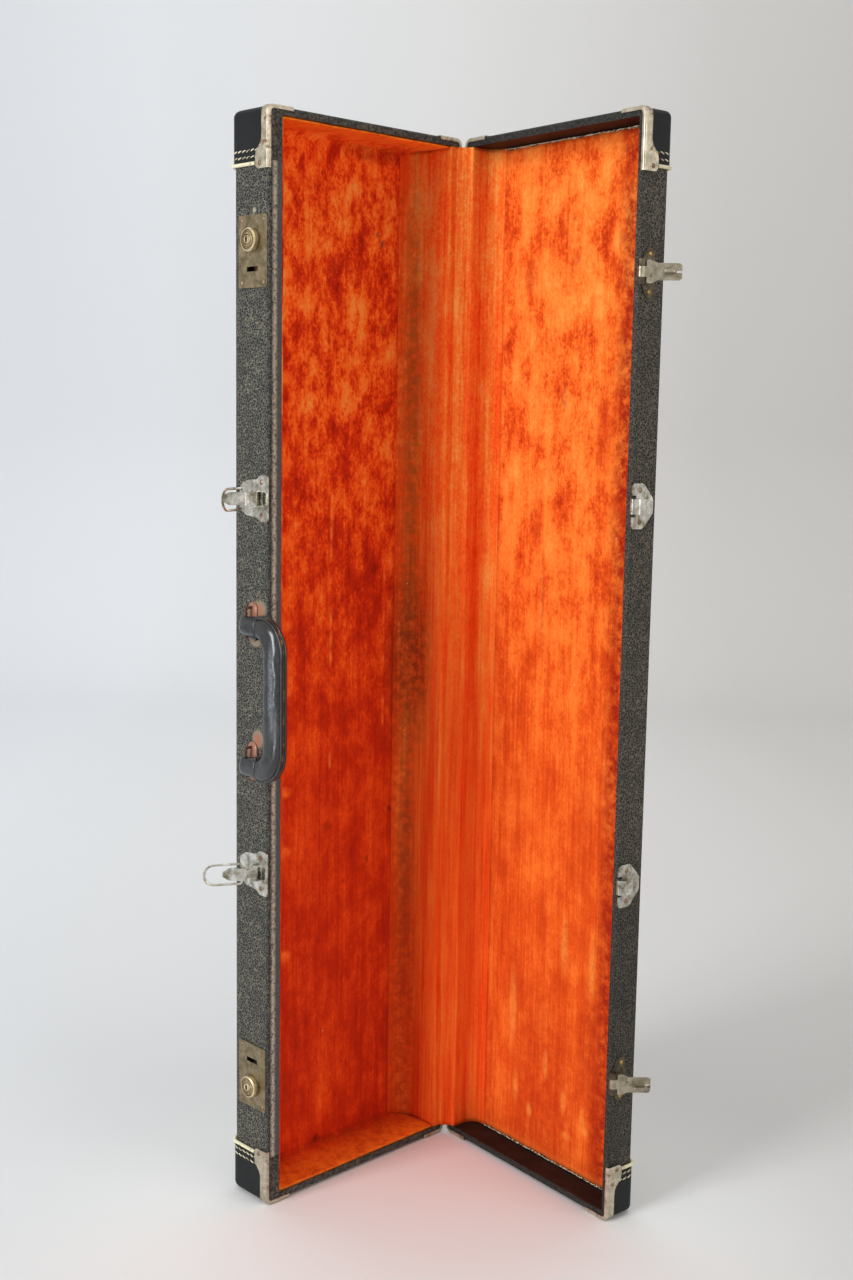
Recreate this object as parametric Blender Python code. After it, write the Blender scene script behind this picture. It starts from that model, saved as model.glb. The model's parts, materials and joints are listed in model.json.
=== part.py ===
"""A lap steel guitar case of the 1950s kind, standing open on its lower end.

Every length is in millimetres until at() turns it into Blender's metres.
A place in either half of the case is given by three distances:
    d   depth, from the plane where the halves meet towards that half's floor
    w   width, from the hinge axis towards the front wall
    z   height, from the lower end
Hardware on a front wall also uses v, the distance out from its covering.
"""
from math import atan2, cos, pi, radians, sin, tan
from types import SimpleNamespace

import bmesh
import bpy
from mathutils import Vector

MM = 0.001

# The whole case, over its metal rim clamps
LENGTH = 870.0
REACH = 206.2                 # hinge axis to the front
LID_OPEN = 84.5               # degrees, as it stands in the photograph
SETBACK = 3.3                 # hinge axis to the covering of the back walls

# Sheets that lie over one another, and the gap between pieces that touch
GAP = 0.3
COVERING = 0.8
CAP = 2.2
CLAMP = 0.6
VELVET = 1.6

# The two halves: boards by thickness, and how deep each half is over its end caps
BASE = SimpleNamespace(name="base", side=-1, depth=48.3, front=11.2, back=8.0, end=3.6, floor=2.4, edge=6.5)
LID = SimpleNamespace(name="lid", side=1, depth=31.9, front=3.6, back=4.6, end=4.0, floor=2.2, edge=4.0)

CORNER = 2.6                  # radius of the box's four upright corners, on the boards
RIM_ROUND = 1.4               # radius of the boards' outer rim edges
TURN_IN = 2.0                 # how far the covering turns over the back walls' rims

# Leather end caps with a piped edge
CAP_SKIRT = 40.4
PIPING = 2.8                  # diameter

# Rim clamps
LIP_CLEAR = 0.15              # half the gap between the lips of a closed case
CLAMP_LIP = 3.3
CLAMP_BAND = 7.8
CLAMP_EAR = 15.2
CLAMP_WALL_LEG = 46.5
CLAMP_END_LEG = 25.0

# Velvet lining
TRAY_COVE = 13.0
BASE_COVE = 18.0
LID_COVE = 11.0
LID_SEAM = 25.0               # hinge axis to the seam on the lid's floor

# Handle
HANDLE_BELOW = 12.5           # how far it hangs below the case's middle, at the lower end of its loops
HANDLE_LENGTH = 126.0
HANDLE_REACH = 50.6           # pivot to the grip's outer edge
GRIP_WIDTH = 23.0
GRIP_THICK = 14.8
GRIP_CORNER = 16.0
TAB_WIDTH = 14.6
TAB_THICK = 9.6
TAB_OVER = 4.0                # pivot to the tab's tip
HANDLE_DEPTH = 20.0
HANDLE_OUT = 8.0
HANDLE_REST = -88.0           # degrees from straight out, towards the rim
LOOP_WIRE = 2.4
LOOP_CLEAR = 0.45
LOOP_SLACK = 5.0              # how far the tabs can slide along their loops

# Draw latches
LATCHES_BELOW = 6.4           # how far their middle is below the case's middle
LATCH_SPACING = 297.6
LATCH_PLATE = SimpleNamespace(rim=0.5, ear=10.6, tip=35.4, half=18.0, tip_half=9.0, thick=1.0)
LEVER_DEPTH = 12.6
LEVER_OUT = 4.2
LEVER_LENGTH = 25.6
LEVER_WIDTH = 10.0
LEVER_PIN = 2.4
BAIL_ARM = 10.2               # lever's pivot to the bail's
BAIL_LENGTH = 30.0
BAIL_WIDTH = 16.2             # between wire centres
BAIL_WIRE = 2.0
LEVER_REST = 30.0
BAIL_REST = {"upper": -24.0, "lower": 30.0}

# Catches on the lid
CATCH_PLATE = SimpleNamespace(rim=0.0, nails=9.8, deep=24.2, half=17.3, thick=0.9)
TONGUE_WIDTH = 11.6
TONGUE_OUT = 6.3

# Locks, mirrored about the middle of the case
LOCK_FROM_END = 106.3         # end of the case to the middle of a lock plate
LOCK_PLATE = SimpleNamespace(rim=3.1, width=33.8, length=54.0, thick=0.9)
LOCK_DEPTH = 20.0
KNOB_SHIFT = 8.4              # plate's middle to the barrel, away from the middle of the case
SLOT_SHIFT = 13.1             # plate's middle to the slot, the other way
SLOT = SimpleNamespace(long=13.4, wide=3.6)
KNOB = 17.8
KNOB_OUT = 7.2
BARREL = 7.6
LOCK_CASE = SimpleNamespace(inset=3.4, deep=7.4, wall=0.8)
BOLT = SimpleNamespace(width=4.0, thick=1.6, length=13.2, deep=3.8, clear=3.6, travel=6.0)

# Hasps on the lid, whose staples go into the lock slots
HASP_OUT = 3.6
HASP_KNUCKLE = 6.0
HASP_PIN = 2.0
HASP_KNUCKLES = 18.4
HASP_CENTRE = 7.8
HASP_LEAF = 29.6
HASP_REST = 140.0             # degrees from closed
HASP_PLATE = SimpleNamespace(start=3.6, nails=11.2, deep=17.6, half=18.5, thick=0.9)
STAPLE_THICK = 2.2

# Butt hinges on the back
HINGE_SPACING = 470.0
HINGE_LENGTH = 50.0
HINGE_LEAF = 21.0
HINGE_SHEET = 0.9
HINGE_BARREL = 5.2
HINGE_PIN = 2.4
HINGE_KNUCKLES = 5

# Places that follow from the sizes above
COVER_FACE = GAP + COVERING
CAP_FACE = GAP + CAP
CLAMP_FACE = CAP_FACE + GAP + CLAMP
FRONT = REACH - CLAMP_FACE
BACK = SETBACK + COVER_FACE
LOW = CLAMP_FACE
HIGH = LENGTH - CLAMP_FACE
RIM = LIP_CLEAR + CLAMP + GAP
BOARD_RIM = RIM + COVERING + GAP
FACE = FRONT + COVER_FACE
MIDDLE = LENGTH / 2
HANDLE_HEIGHT = MIDDLE - HANDLE_BELOW
LATCH_MIDDLE = MIDDLE - LATCHES_BELOW
LOCK_MIDDLE = MIDDLE - LOCK_FROM_END
for half in (BASE, LID):
    half.floor_face = half.depth - CAP_FACE
    half.inner_front = FRONT - half.front
    half.inner_back = BACK + half.back
    half.inner_low = LOW + half.end
    half.inner_high = HIGH - half.end
    half.inner_floor = half.floor_face - half.floor
FAR = 2 * LENGTH              # past the whole model, for cutting blocks

LOOKS = {
    "board": ("a98a5f", 0.8, 0.0),
    "covering": ("35363a", 0.75, 0.0),
    "leatherette": ("232426", 0.45, 0.0),
    "piping": ("e6dcb4", 0.55, 0.0),
    "clamp": ("9a927e", 0.35, 1.0),
    "velvet": ("e0500f", 0.9, 0.0),
    "nickel": ("c4c2ba", 0.2, 1.0),
    "tarnish": ("7d725b", 0.4, 1.0),
    "brass": ("ab8a4e", 0.35, 1.0),
    "steel": ("85807a", 0.45, 1.0),
    "handle_leather": ("1d1d20", 0.3, 0.0),
}


# Basic shapes

def at(half, d, w, z):
    """A point of one half in metres, as that half lies closed round the hinge axis."""
    return Vector((half.side * d, -w, z)) * MM


def rounded(corners, steps=5):
    """An outline from (x, y, radius) corners, each rounded by an arc that its sides have room for."""
    outline = []
    for i, (x, y, radius) in enumerate(corners):
        here = Vector((x, y))
        before = Vector(corners[i - 1][:2]) - here
        after = Vector(corners[(i + 1) % len(corners)][:2]) - here
        half_angle = before.angle(after) / 2
        radius = min(radius, 0.49 * min(before.length, after.length) * tan(half_angle))
        if radius <= 0:
            outline.append((x, y))
            continue
        before.normalize()
        after.normalize()
        centre = here + (before + after).normalized() * radius / sin(half_angle)
        start = here + before * radius / tan(half_angle) - centre
        stop = here + after * radius / tan(half_angle) - centre
        first = atan2(start.y, start.x)
        turn = (atan2(stop.y, stop.x) - first + pi) % (2 * pi) - pi
        for k in range(steps + 1):
            angle = first + turn * k / steps
            outline.append((centre.x + radius * cos(angle), centre.y + radius * sin(angle)))
    return outline


def loft(rings, closed=False):
    """A closed body through a row of equal rings: flat at its ends, or meeting itself."""
    bm = bmesh.new()
    rows = [[bm.verts.new(point) for point in ring] for ring in rings]
    pairs = list(zip(rows, rows[1:]))
    if closed:
        pairs.append((rows[-1], rows[0]))
    else:
        bm.faces.new(rows[0])
        bm.faces.new(rows[-1])
    for one, two in pairs:
        for i in range(len(one)):
            j = (i + 1) % len(one)
            bm.faces.new((one[i], one[j], two[j], two[i]))
    bmesh.ops.recalc_face_normals(bm, faces=bm.faces)
    mesh = bpy.data.meshes.new("body")
    bm.to_mesh(mesh)
    bm.free()
    made = bpy.data.objects.new("body", mesh)
    bpy.context.collection.objects.link(made)
    return made


def prism(half, outline, span, along):
    """An outline of the other two distances, swept between two values of d, w or z."""
    order = {"d": lambda p, q, s: (s, p, q), "w": lambda p, q, s: (p, s, q), "z": lambda p, q, s: (p, q, s)}
    return loft([[at(half, *order[along](p, q, s)) for p, q in outline] for s in span])


def box(half, d, w, z):
    return prism(half, [(d[0], w[0]), (d[1], w[0]), (d[1], w[1]), (d[0], w[1])], z, "z")


def circle(radius, sides):
    return [(radius * cos(2 * pi * i / sides), radius * sin(2 * pi * i / sides)) for i in range(sides)]


def rod(half, d, w, radius, span, sides=16):
    """A round bar along z."""
    return prism(half, [(d + x, w + y) for x, y in circle(radius, sides)], span, "z")


def turned(half, d, z, steps, sides=24):
    """A body turned about an outward axis, from (radius, w) steps."""
    return loft([[at(half, d + x, w, z + y) for x, y in circle(radius, sides)] for radius, w in steps])


def tube(points, radius, across, sides=8, closed=False):
    """A wire along points that lie in one plane, whose normal is across."""
    rings = []
    last = len(points) - 1
    for i, point in enumerate(points):
        behind = points[i - 1] if closed or i else point
        ahead = points[(i + 1) % len(points)] if closed or i < last else point
        aside = across.cross(ahead - behind).normalized()
        rings.append([point + (aside * x + across * y) * MM for x, y in circle(radius, sides)])
    return loft(rings, closed)


def combine(kept, tool, how):
    """Unite, cut or intersect one closed body with another, which is used up."""
    change = kept.modifiers.new("combine", "BOOLEAN")
    change.operation = how
    change.solver = "EXACT"
    change.object = tool
    bpy.context.view_layer.update()
    whole = kept.evaluated_get(bpy.context.evaluated_depsgraph_get())
    mesh = bpy.data.meshes.new_from_object(whole)
    kept.modifiers.clear()
    kept.data = mesh
    bpy.data.objects.remove(tool)
    return kept


def cut(kept, *tools):
    for tool in tools:
        combine(kept, tool, "DIFFERENCE")
    return kept


def unite(kept, *tools):
    for tool in tools:
        combine(kept, tool, "UNION")
    return kept


def common(kept, tool):
    return combine(kept, tool, "INTERSECT")


def linear(channel):
    return channel / 12.92 if channel <= 0.04045 else ((channel + 0.055) / 1.055) ** 2.4


def piece(made, name, look, parent):
    """Name a finished body, give it its material and hang it on what carries it."""
    made.name = name
    made.data.name = name
    colour, roughness, metallic = LOOKS[look]
    paint = bpy.data.materials.new(f"{name}_{look}")
    paint.use_nodes = True
    shader = paint.node_tree.nodes["Principled BSDF"]
    rgb = [linear(int(colour[i:i + 2], 16) / 255) for i in (0, 2, 4)]
    shader.inputs["Base Color"].default_value = (*rgb, 1)
    shader.inputs["Roughness"].default_value = roughness
    shader.inputs["Metallic"].default_value = metallic
    made.data.materials.clear()
    made.data.materials.append(paint)
    made.data.shade_smooth()
    made.data.set_sharp_from_angle(angle=radians(32))
    made.parent = parent
    return made


def pivot(name, parent, place, angle=0.0):
    """An empty on a joint's axis, turned to the pose in which the case stands."""
    empty = bpy.data.objects.new(name, None)
    bpy.context.collection.objects.link(empty)
    empty.location = place
    empty.rotation_euler.z = radians(angle)
    empty.parent = parent
    return empty


# The wooden boxes

def block(half, grow, rim, rim_round, steps=5):
    """A half's outer block, grown outside its boards, with rounded corners, floor edges and rim edges."""
    floor = half.floor_face + grow
    edge = half.edge + grow
    levels = []
    for k in range(4):
        angle = k * pi / 6
        levels.append((rim + rim_round * (1 - cos(angle)), rim_round * (1 - sin(angle))))
    for k in range(steps + 1):
        angle = k * pi / 2 / steps
        levels.append((floor - edge * (1 - sin(angle)), edge * (1 - cos(angle))))
    rings = []
    for d, inset in levels:
        w0 = BACK - grow + inset
        w1 = FRONT + grow - inset
        z0 = LOW - grow + inset
        z1 = HIGH + grow - inset
        radius = max(CORNER + grow - inset, 0.2)
        outline = rounded([(w0, z0, radius), (w1, z0, radius), (w1, z1, radius), (w0, z1, radius)], 4)
        rings.append([at(half, d, w, z) for w, z in outline])
    return loft(rings)


def lock_window(sign, grow):
    """The hole behind one lock plate, as spans of d and z."""
    case = LOCK_CASE.inset - grow
    d = (LOCK_PLATE.rim + case, LOCK_PLATE.rim + LOCK_PLATE.width - case)
    reach = LOCK_PLATE.length / 2 - case
    middle = MIDDLE + sign * LOCK_MIDDLE
    return d, (middle - reach, middle + reach)


def boards(half, parent):
    """Four walls with butted corners, and a floor panel let in between them."""
    across = (half.inner_back + GAP, half.inner_front - GAP)
    up = (half.inner_low + GAP, half.inner_high - GAP)
    spans = {
        "front_board": ((-FAR, FAR), (half.inner_front, FAR), (-FAR, FAR)),
        "back_board": ((-FAR, FAR), (-FAR, half.inner_back), (-FAR, FAR)),
        "upper_end_board": ((-FAR, FAR), across, (half.inner_high, FAR)),
        "lower_end_board": ((-FAR, FAR), across, (-FAR, half.inner_low)),
        "floor_panel": ((half.inner_floor, FAR), across, up),
    }
    for name, (d, w, z) in spans.items():
        board = common(block(half, 0, BOARD_RIM, RIM_ROUND), box(half, d, w, z))
        if half is BASE and name == "front_board":
            for sign in (1, -1):
                depths, heights = lock_window(sign, GAP)
                cut(board, box(half, depths, (FACE - LOCK_CASE.deep - GAP, FAR), heights))
        piece(board, f"{half.name}_{name}", "board", parent)


def covering(half, parent):
    """One grained sheet round the front, floor and back, turned in over the rims."""
    turn = BACK + TURN_IN
    inner = RIM + COVERING
    outline = [
        (RIM, half.inner_front, 0),
        (RIM, FRONT + COVER_FACE, RIM_ROUND + COVERING),
        (half.floor_face + COVER_FACE, FRONT + COVER_FACE, half.edge + COVER_FACE),
        (half.floor_face + COVER_FACE, BACK - COVER_FACE, half.edge + COVER_FACE),
        (RIM, BACK - COVER_FACE, RIM_ROUND + COVERING),
        (RIM, turn, 0),
        (inner, turn, 0),
        (inner, BACK - GAP, RIM_ROUND),
        (half.floor_face + GAP, BACK - GAP, half.edge + GAP),
        (half.floor_face + GAP, FRONT + GAP, half.edge + GAP),
        (inner, FRONT + GAP, RIM_ROUND),
        (inner, half.inner_front, 0),
    ]
    start = CAP_SKIRT + GAP
    sheet = prism(half, rounded(outline), (start, LENGTH - start), "z")
    if half is BASE:
        for sign in (1, -1):
            depths, heights = lock_window(sign, GAP)
            cut(sheet, box(half, depths, (FRONT - 1, FAR), heights))
    piece(sheet, f"{half.name}_covering", "covering", parent)


def end_cap(half, upper, parent):
    """A leather cap drawn over one end, with its edge turned over the rim."""
    inside = (half.inner_low, half.inner_high)
    keep = (LENGTH - CAP_SKIRT, FAR) if upper else (-FAR, CAP_SKIRT)
    cap = common(block(half, CAP_FACE, RIM, RIM_ROUND + COVERING), box(half, (-FAR, FAR), (-FAR, FAR), keep))
    cut(cap, block(half, GAP, RIM + COVERING, RIM_ROUND + GAP))
    cut(cap, box(half, (-FAR, half.inner_floor), (BACK + TURN_IN, half.inner_front), inside))
    where = "upper" if upper else "lower"
    piece(cap, f"{half.name}_{where}_end_cap", "leatherette", parent)


def piping(half, upper, parent):
    """The welt sewn along a cap's edge, from one rim clamp round the floor to the next."""
    out = COVER_FACE + GAP + PIPING / 2
    start = CLAMP_EAR + 2 * GAP
    height = CAP_SKIRT + GAP + PIPING / 2
    if upper:
        height = LENGTH - height
    radius = half.edge + out
    corners = [
        (start, FRONT + out, 0),
        (half.floor_face + out, FRONT + out, radius),
        (half.floor_face + out, BACK - out, radius),
        (start, BACK - out, 0),
    ]
    path = [at(half, d, w, height) for d, w in rounded(corners, 8)]
    bead = tube(path, PIPING / 2, Vector((0, 0, 1)), 10)
    where = "upper" if upper else "lower"
    piece(bead, f"{half.name}_{where}_piping", "piping", parent)


def rim_clamp(half, front, upper, parent):
    """A bent strip over one rim corner: a lip on the rim, a band round the corner and an ear on the wall."""
    face = FRONT + CLAMP_FACE if front else BACK - CLAMP_FACE
    inward = -1 if front else 1
    end = LENGTH if upper else 0.0
    along = -1 if upper else 1
    radius = CORNER + CLAMP_FACE
    stations = []
    ear = [(0.0, -3.6), (0.9, -1.5), (2.3, -0.3), (4.5, 0.0), (10.0, 0.0), (12.5, -0.7)]
    for back, less in ear:
        stations.append((face, end + along * (CLAMP_WALL_LEG - back), 1, 0, CLAMP_EAR + less))
    for back, more in ((19.0, 1.2), (21.5, 0.2), (25.0, 0.0)):
        stations.append((face, end + along * (CLAMP_WALL_LEG - back), 1, 0, CLAMP_BAND + more))
    for k in range(7):
        c, s = cos(k * pi / 12), sin(k * pi / 12)
        w = face + inward * radius * (1 - c)
        stations.append((w, end + along * radius * (1 - s), c, s, CLAMP_BAND))
    for back, less in ((2.4, 0.0), (0.9, 0.7), (0.0, 2.4)):
        stations.append((face + inward * (CLAMP_END_LEG - back), end, 0, 1, CLAMP_BAND - less))
    rings = []
    for w, z, out_w, out_z, width in stations:
        section = rounded([
            (CLAMP_LIP, LIP_CLEAR, 0),
            (0, LIP_CLEAR, 1.5),
            (0, width, 0),
            (CLAMP, width, 0),
            (CLAMP, LIP_CLEAR + CLAMP, 0.9),
            (CLAMP_LIP, LIP_CLEAR + CLAMP, 0),
        ], 3)
        rings.append([at(half, d, w + inward * inset * out_w, z + along * inset * out_z) for inset, d in section])
    strip = loft(rings)
    wall = "front" if front else "back"
    where = "upper" if upper else "lower"
    piece(strip, f"{half.name}_{where}_{wall}_rim_clamp", "clamp", parent)


# Velvet lining

def bowl(half, d, w, z, cove, corner, steps=6):
    """A block whose far edges are rounded by the cove, which hollows a tray."""
    rings = []
    for k in range(-1, steps + 1):
        angle = max(k, 0) * pi / 2 / steps
        inset = cove * (1 - cos(angle))
        depth = d[0] if k < 0 else d[1] - cove * (1 - sin(angle))
        w0, w1 = w[0] + inset, w[1] - inset
        z0, z1 = z[0] + inset, z[1] - inset
        radius = corner
        outline = rounded([(w0, z0, radius), (w1, z0, radius), (w1, z1, radius), (w0, z1, radius)], 4)
        rings.append([at(half, depth, p, q) for p, q in outline])
    return loft(rings)


def strip_sizes(half):
    """The hinge strip's wall face, its floor face and where it ends on the floor."""
    wall = half.inner_back + GAP + VELVET
    floor = half.inner_floor - GAP - VELVET
    toe = LID_SEAM if half is LID else wall + BASE_COVE + 1.0
    return wall, floor, toe


def hinge_strip(half, parent):
    """One half of the velvet that runs over the hinge, down the back wall and onto the floor."""
    wall, floor, toe = strip_sizes(half)
    cove = LID_COVE if half is LID else BASE_COVE
    back = half.inner_back + GAP
    bottom = half.inner_floor - GAP
    start = BACK + TURN_IN + GAP
    outline = rounded([
        (RIM, start, 0),
        (RIM, wall, 1.2),
        (floor, wall, cove),
        (floor, toe, 0),
        (bottom, toe, 0),
        (bottom, back, 0),
        (RIM + COVERING, back, 0),
        (RIM + COVERING, start, 0),
    ], 6)
    span = (half.inner_low + GAP, half.inner_high - GAP)
    piece(prism(half, outline, span, "z"), f"{half.name}_hinge_strip", "velvet", parent)


def base_lining(parent):
    """The velvet tray of the base: floor, front and both ends, with coved corners."""
    half = BASE
    wall, floor, toe = strip_sizes(half)
    z = (half.inner_low + GAP, half.inner_high - GAP)
    front = half.inner_front - GAP
    tray = box(half, (RIM + GAP, half.inner_floor - GAP), (half.inner_back + GAP, front), z)
    hollow = (z[0] + VELVET, z[1] - VELVET)
    cut(tray, bowl(half, (-FAR, floor), (-FAR, front - VELVET), hollow, TRAY_COVE, TRAY_COVE / 2))
    behind = rounded([
        (-FAR, -FAR, 0),
        (-FAR, wall + GAP, 0),
        (floor - GAP, wall + GAP, BASE_COVE),
        (floor - GAP, toe + GAP, 0),
        (FAR, toe + GAP, 0),
        (FAR, -FAR, 0),
    ], 6)
    cut(tray, prism(half, behind, (-FAR, FAR), "z"))
    piece(tray, "base_lining", "velvet", parent)


def lid_lining(parent):
    """The velvet panel on the lid's floor, between the hinge strip's seam and the front."""
    half = LID
    d = (half.inner_floor - GAP - VELVET, half.inner_floor - GAP)
    w = (LID_SEAM + GAP, half.inner_front - GAP)
    z = (half.inner_low + GAP, half.inner_high - GAP)
    piece(box(half, d, w, z), "lid_lining", "velvet", parent)


# Hinges

def hinge_leaf(half, where, middle, parent):
    """One leaf of a butt hinge. The base's leaf keeps the pin, riveted in its knuckles."""
    radius = HINGE_BARREL / 2
    low = middle - HINGE_LENGTH / 2
    high = low + HINGE_LENGTH
    step = HINGE_LENGTH / HINGE_KNUCKLES
    face = SETBACK - GAP
    outline = rounded([(0.3, low, 0), (HINGE_LEAF, low, 2.5), (HINGE_LEAF, high, 2.5), (0.3, high, 0)], 3)
    leaf = prism(half, outline, (face - HINGE_SHEET, face), "w")
    own = []
    for k in range(HINGE_KNUCKLES):
        start = low + k * step
        if (k % 2 == 0) == (half is BASE):
            own.append((start + GAP / 2, start + step - GAP / 2))
        else:
            notch = (start - GAP / 2 - 0.1, start + step + GAP / 2 + 0.1)
            cut(leaf, box(half, (-FAR, radius + GAP), (-FAR, FAR), notch))
    for span in own:
        unite(leaf, rod(half, 0, 0, radius, span))
    if half is BASE:
        unite(leaf, rod(half, 0, 0, HINGE_PIN / 2, (low + 1, high - 1), 12))
    else:
        cut(leaf, rod(half, 0, 0, HINGE_PIN / 2 + GAP, (low - 1, high + 1), 12))
    piece(leaf, f"{half.name}_{where}_hinge_leaf", "steel", parent)


# Draw latches and their catches

def latch_plate(where, z, parent):
    """A stamped plate with two nail ears, a slot by the rim and the lugs that carry the lever."""
    p = LATCH_PLATE
    inner = FACE + GAP
    outer = inner + p.thick
    outline = rounded([
        (p.rim, z - p.half, 2.5),
        (p.ear, z - p.half, 5.0),
        (p.ear + 3.5, z - p.half + 3.2, 3.0),
        (p.tip - 8, z - p.tip_half - 4.5, 6.0),
        (p.tip, z - p.tip_half, 3.0),
        (p.tip, z + p.tip_half, 3.0),
        (p.tip - 8, z + p.tip_half + 4.5, 6.0),
        (p.ear + 3.5, z + p.half - 3.2, 3.0),
        (p.ear, z + p.half, 5.0),
        (p.rim, z + p.half, 2.5),
    ], 3)
    plate = prism(BASE, outline, (inner, outer), "w")
    slot = rounded([(3.2, z - 5, 1.6), (7.2, z - 5, 1.6), (7.2, z + 5, 1.6), (3.2, z + 5, 1.6)], 3)
    cut(plate, prism(BASE, slot, (inner - 1, outer + 1), "w"))
    axle = FACE + LEVER_OUT
    reach = LEVER_WIDTH / 2 + GAP
    lug = rounded([
        (LEVER_DEPTH - 4.0, outer - 0.4, 0),
        (LEVER_DEPTH - 2.4, axle + 2.2, 2.0),
        (LEVER_DEPTH + 2.4, axle + 2.2, 2.0),
        (LEVER_DEPTH + 4.0, outer - 0.4, 0),
    ], 3)
    for sign in (1, -1):
        span = sorted((z + sign * reach, z + sign * (reach + 1.0)))
        unite(plate, prism(BASE, lug, span, "z"))
    unite(plate, rod(BASE, LEVER_DEPTH, axle, LEVER_PIN / 2, (z - reach - 0.5, z + reach + 0.5), 12))
    piece(plate, f"{where}_latch_plate", "nickel", parent)


def latch_lever(where, z, parent):
    """The lever that swings on the plate's pin, and the wire bail that swings on the lever."""
    place = at(BASE, LEVER_DEPTH, FACE + LEVER_OUT, z)
    lever_axis = pivot(f"{where}_lever_axis", parent, place, -LEVER_REST)
    half_width = LEVER_WIDTH / 2
    side = rounded([
        (-1.9, -2.2, 1.8),
        (2.2, -2.2, 2.0),
        (2.2, BAIL_ARM + 2.6, 1.6),
        (0.6, LEVER_LENGTH - 7.0, 3.0),
        (1.2, LEVER_LENGTH, 0.5),
        (-0.2, LEVER_LENGTH, 0.5),
        (-1.4, LEVER_LENGTH - 7.0, 3.0),
        (-3.0, BAIL_ARM + 2.2, 2.0),
        (-3.0, BAIL_ARM - 2.6, 1.6),
        (-1.9, BAIL_ARM - 4.6, 2.0),
    ], 3)
    lever = prism(BASE, side, (-half_width, half_width), "z")
    tip = LEVER_LENGTH - 5.5
    upper_edge = [
        (-3.0, half_width + 1, 0),
        (2.6, half_width + 1, 0),
        (4.0, half_width - 1.6, 0.8),
        (6.2, half_width - 1.6, 0.8),
        (7.4, half_width, 0.6),
        (tip, half_width, 2.0),
        (LEVER_LENGTH + 0.5, 1.6, 1.2),
    ]
    plan = rounded(upper_edge + [(w, -z, radius) for w, z, radius in reversed(upper_edge)], 3)
    common(lever, prism(BASE, plan, (-6, 6), "d"))
    cut(lever, rod(BASE, 0, 0, LEVER_PIN / 2 + GAP, (-LEVER_WIDTH, LEVER_WIDTH), 12))
    cut(lever, rod(BASE, 0, BAIL_ARM, BAIL_WIRE / 2 + GAP, (-LEVER_WIDTH, LEVER_WIDTH), 12))
    piece(lever, f"{where}_latch_lever", "nickel", lever_axis)

    bail_axis = pivot(f"{where}_bail_axis", lever_axis, at(BASE, 0, BAIL_ARM, 0), LEVER_REST - BAIL_REST[where])
    reach = BAIL_WIDTH / 2
    corners = [(0, -reach, 2.2), (BAIL_LENGTH, -reach, reach), (BAIL_LENGTH, reach, reach), (0, reach, 2.2)]
    path = [at(BASE, 0, w, height) for w, height in rounded(corners, 6)]
    wire = tube(path, BAIL_WIRE / 2, Vector((1, 0, 0)), 8, closed=True)
    piece(wire, f"{where}_latch_bail", "nickel", bail_axis)


def catch_plate(where, z, parent):
    """The lid's half of a latch: a bell-shaped plate whose tongue is bent up into a hook."""
    p = CATCH_PLATE
    inner = FACE + GAP
    outer = inner + p.thick
    outline = rounded([
        (p.rim + 1.2, z - p.half, 3.0),
        (p.nails + 3.5, z - p.half, 4.5),
        (p.deep, z - 5.5, 6.0),
        (p.deep, z + 5.5, 6.0),
        (p.nails + 3.5, z + p.half, 4.5),
        (p.rim + 1.2, z + p.half, 3.0),
    ], 4)
    plate = prism(LID, outline, (inner, outer), "w")
    reach = TONGUE_WIDTH / 2
    for sign in (1, -1):
        notch = sorted((z + sign * reach, z + sign * (reach + 2.4)))
        cut(plate, box(LID, (p.rim - 1, p.rim + 5.2), (inner - 1, outer + 1), notch))
    top = FACE + TONGUE_OUT
    hook = rounded([
        (p.rim, inner, 0),
        (p.rim, outer + 1.2, 1.2),
        (p.rim + 3.9, top + 0.3, 2.4),
        (12.0, top - 0.1, 0.3),
        (12.0, top - 1.0, 0.3),
        (p.rim + 4.3, top - 0.7, 1.6),
        (p.rim + 1.3, outer + 0.6, 0.6),
        (p.rim + 3.5, outer, 0),
        (p.rim + 3.5, inner, 0),
    ], 3)
    unite(plate, prism(LID, hook, (z - reach, z + reach), "z"))
    piece(plate, f"{where}_catch_plate", "nickel", parent)


# Locks and hasps

def lock_plate(where, sign, parent):
    """A plate with the barrel's ringed housing and the slot that a hasp's staple enters."""
    p = LOCK_PLATE
    middle = MIDDLE + sign * LOCK_MIDDLE
    knob = middle + sign * KNOB_SHIFT
    slot = middle - sign * SLOT_SHIFT
    inner = FACE + GAP
    outer = inner + p.thick
    reach = p.length / 2
    plate = prism(BASE, rounded([
        (p.rim, middle - reach, 1.2),
        (p.rim + p.width, middle - reach, 1.2),
        (p.rim + p.width, middle + reach, 1.2),
        (p.rim, middle + reach, 1.2),
    ], 3), (inner, outer), "w")
    radius = KNOB / 2
    top = FACE + KNOB_OUT
    housing = turned(BASE, LOCK_DEPTH, knob, [
        (radius, outer - 0.4),
        (radius, top - 1.8),
        (radius - 0.8, top - 1.0),
        (radius - 1.5, top - 1.0),
        (radius - 1.9, top - 1.7),
        (radius - 2.4, top - 1.7),
        (radius - 2.8, top - 0.4),
        (radius - 3.5, top - 0.4),
        (radius - 3.8, top - 0.9),
        (BARREL / 2 + 0.9, top - 0.9),
        (BARREL / 2 + 0.6, top),
    ])
    unite(plate, housing)
    cut(plate, turned(BASE, LOCK_DEPTH, knob, [(BARREL / 2 + GAP, inner - 1), (BARREL / 2 + GAP, top + 1)], 20))
    long, wide = SLOT.long / 2, SLOT.wide / 2
    cut(plate, box(BASE, (LOCK_DEPTH - long, LOCK_DEPTH + long), (inner - 1, outer + 1), (slot - wide, slot + wide)))
    piece(plate, f"{where}_lock_plate", "tarnish", parent)


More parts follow.
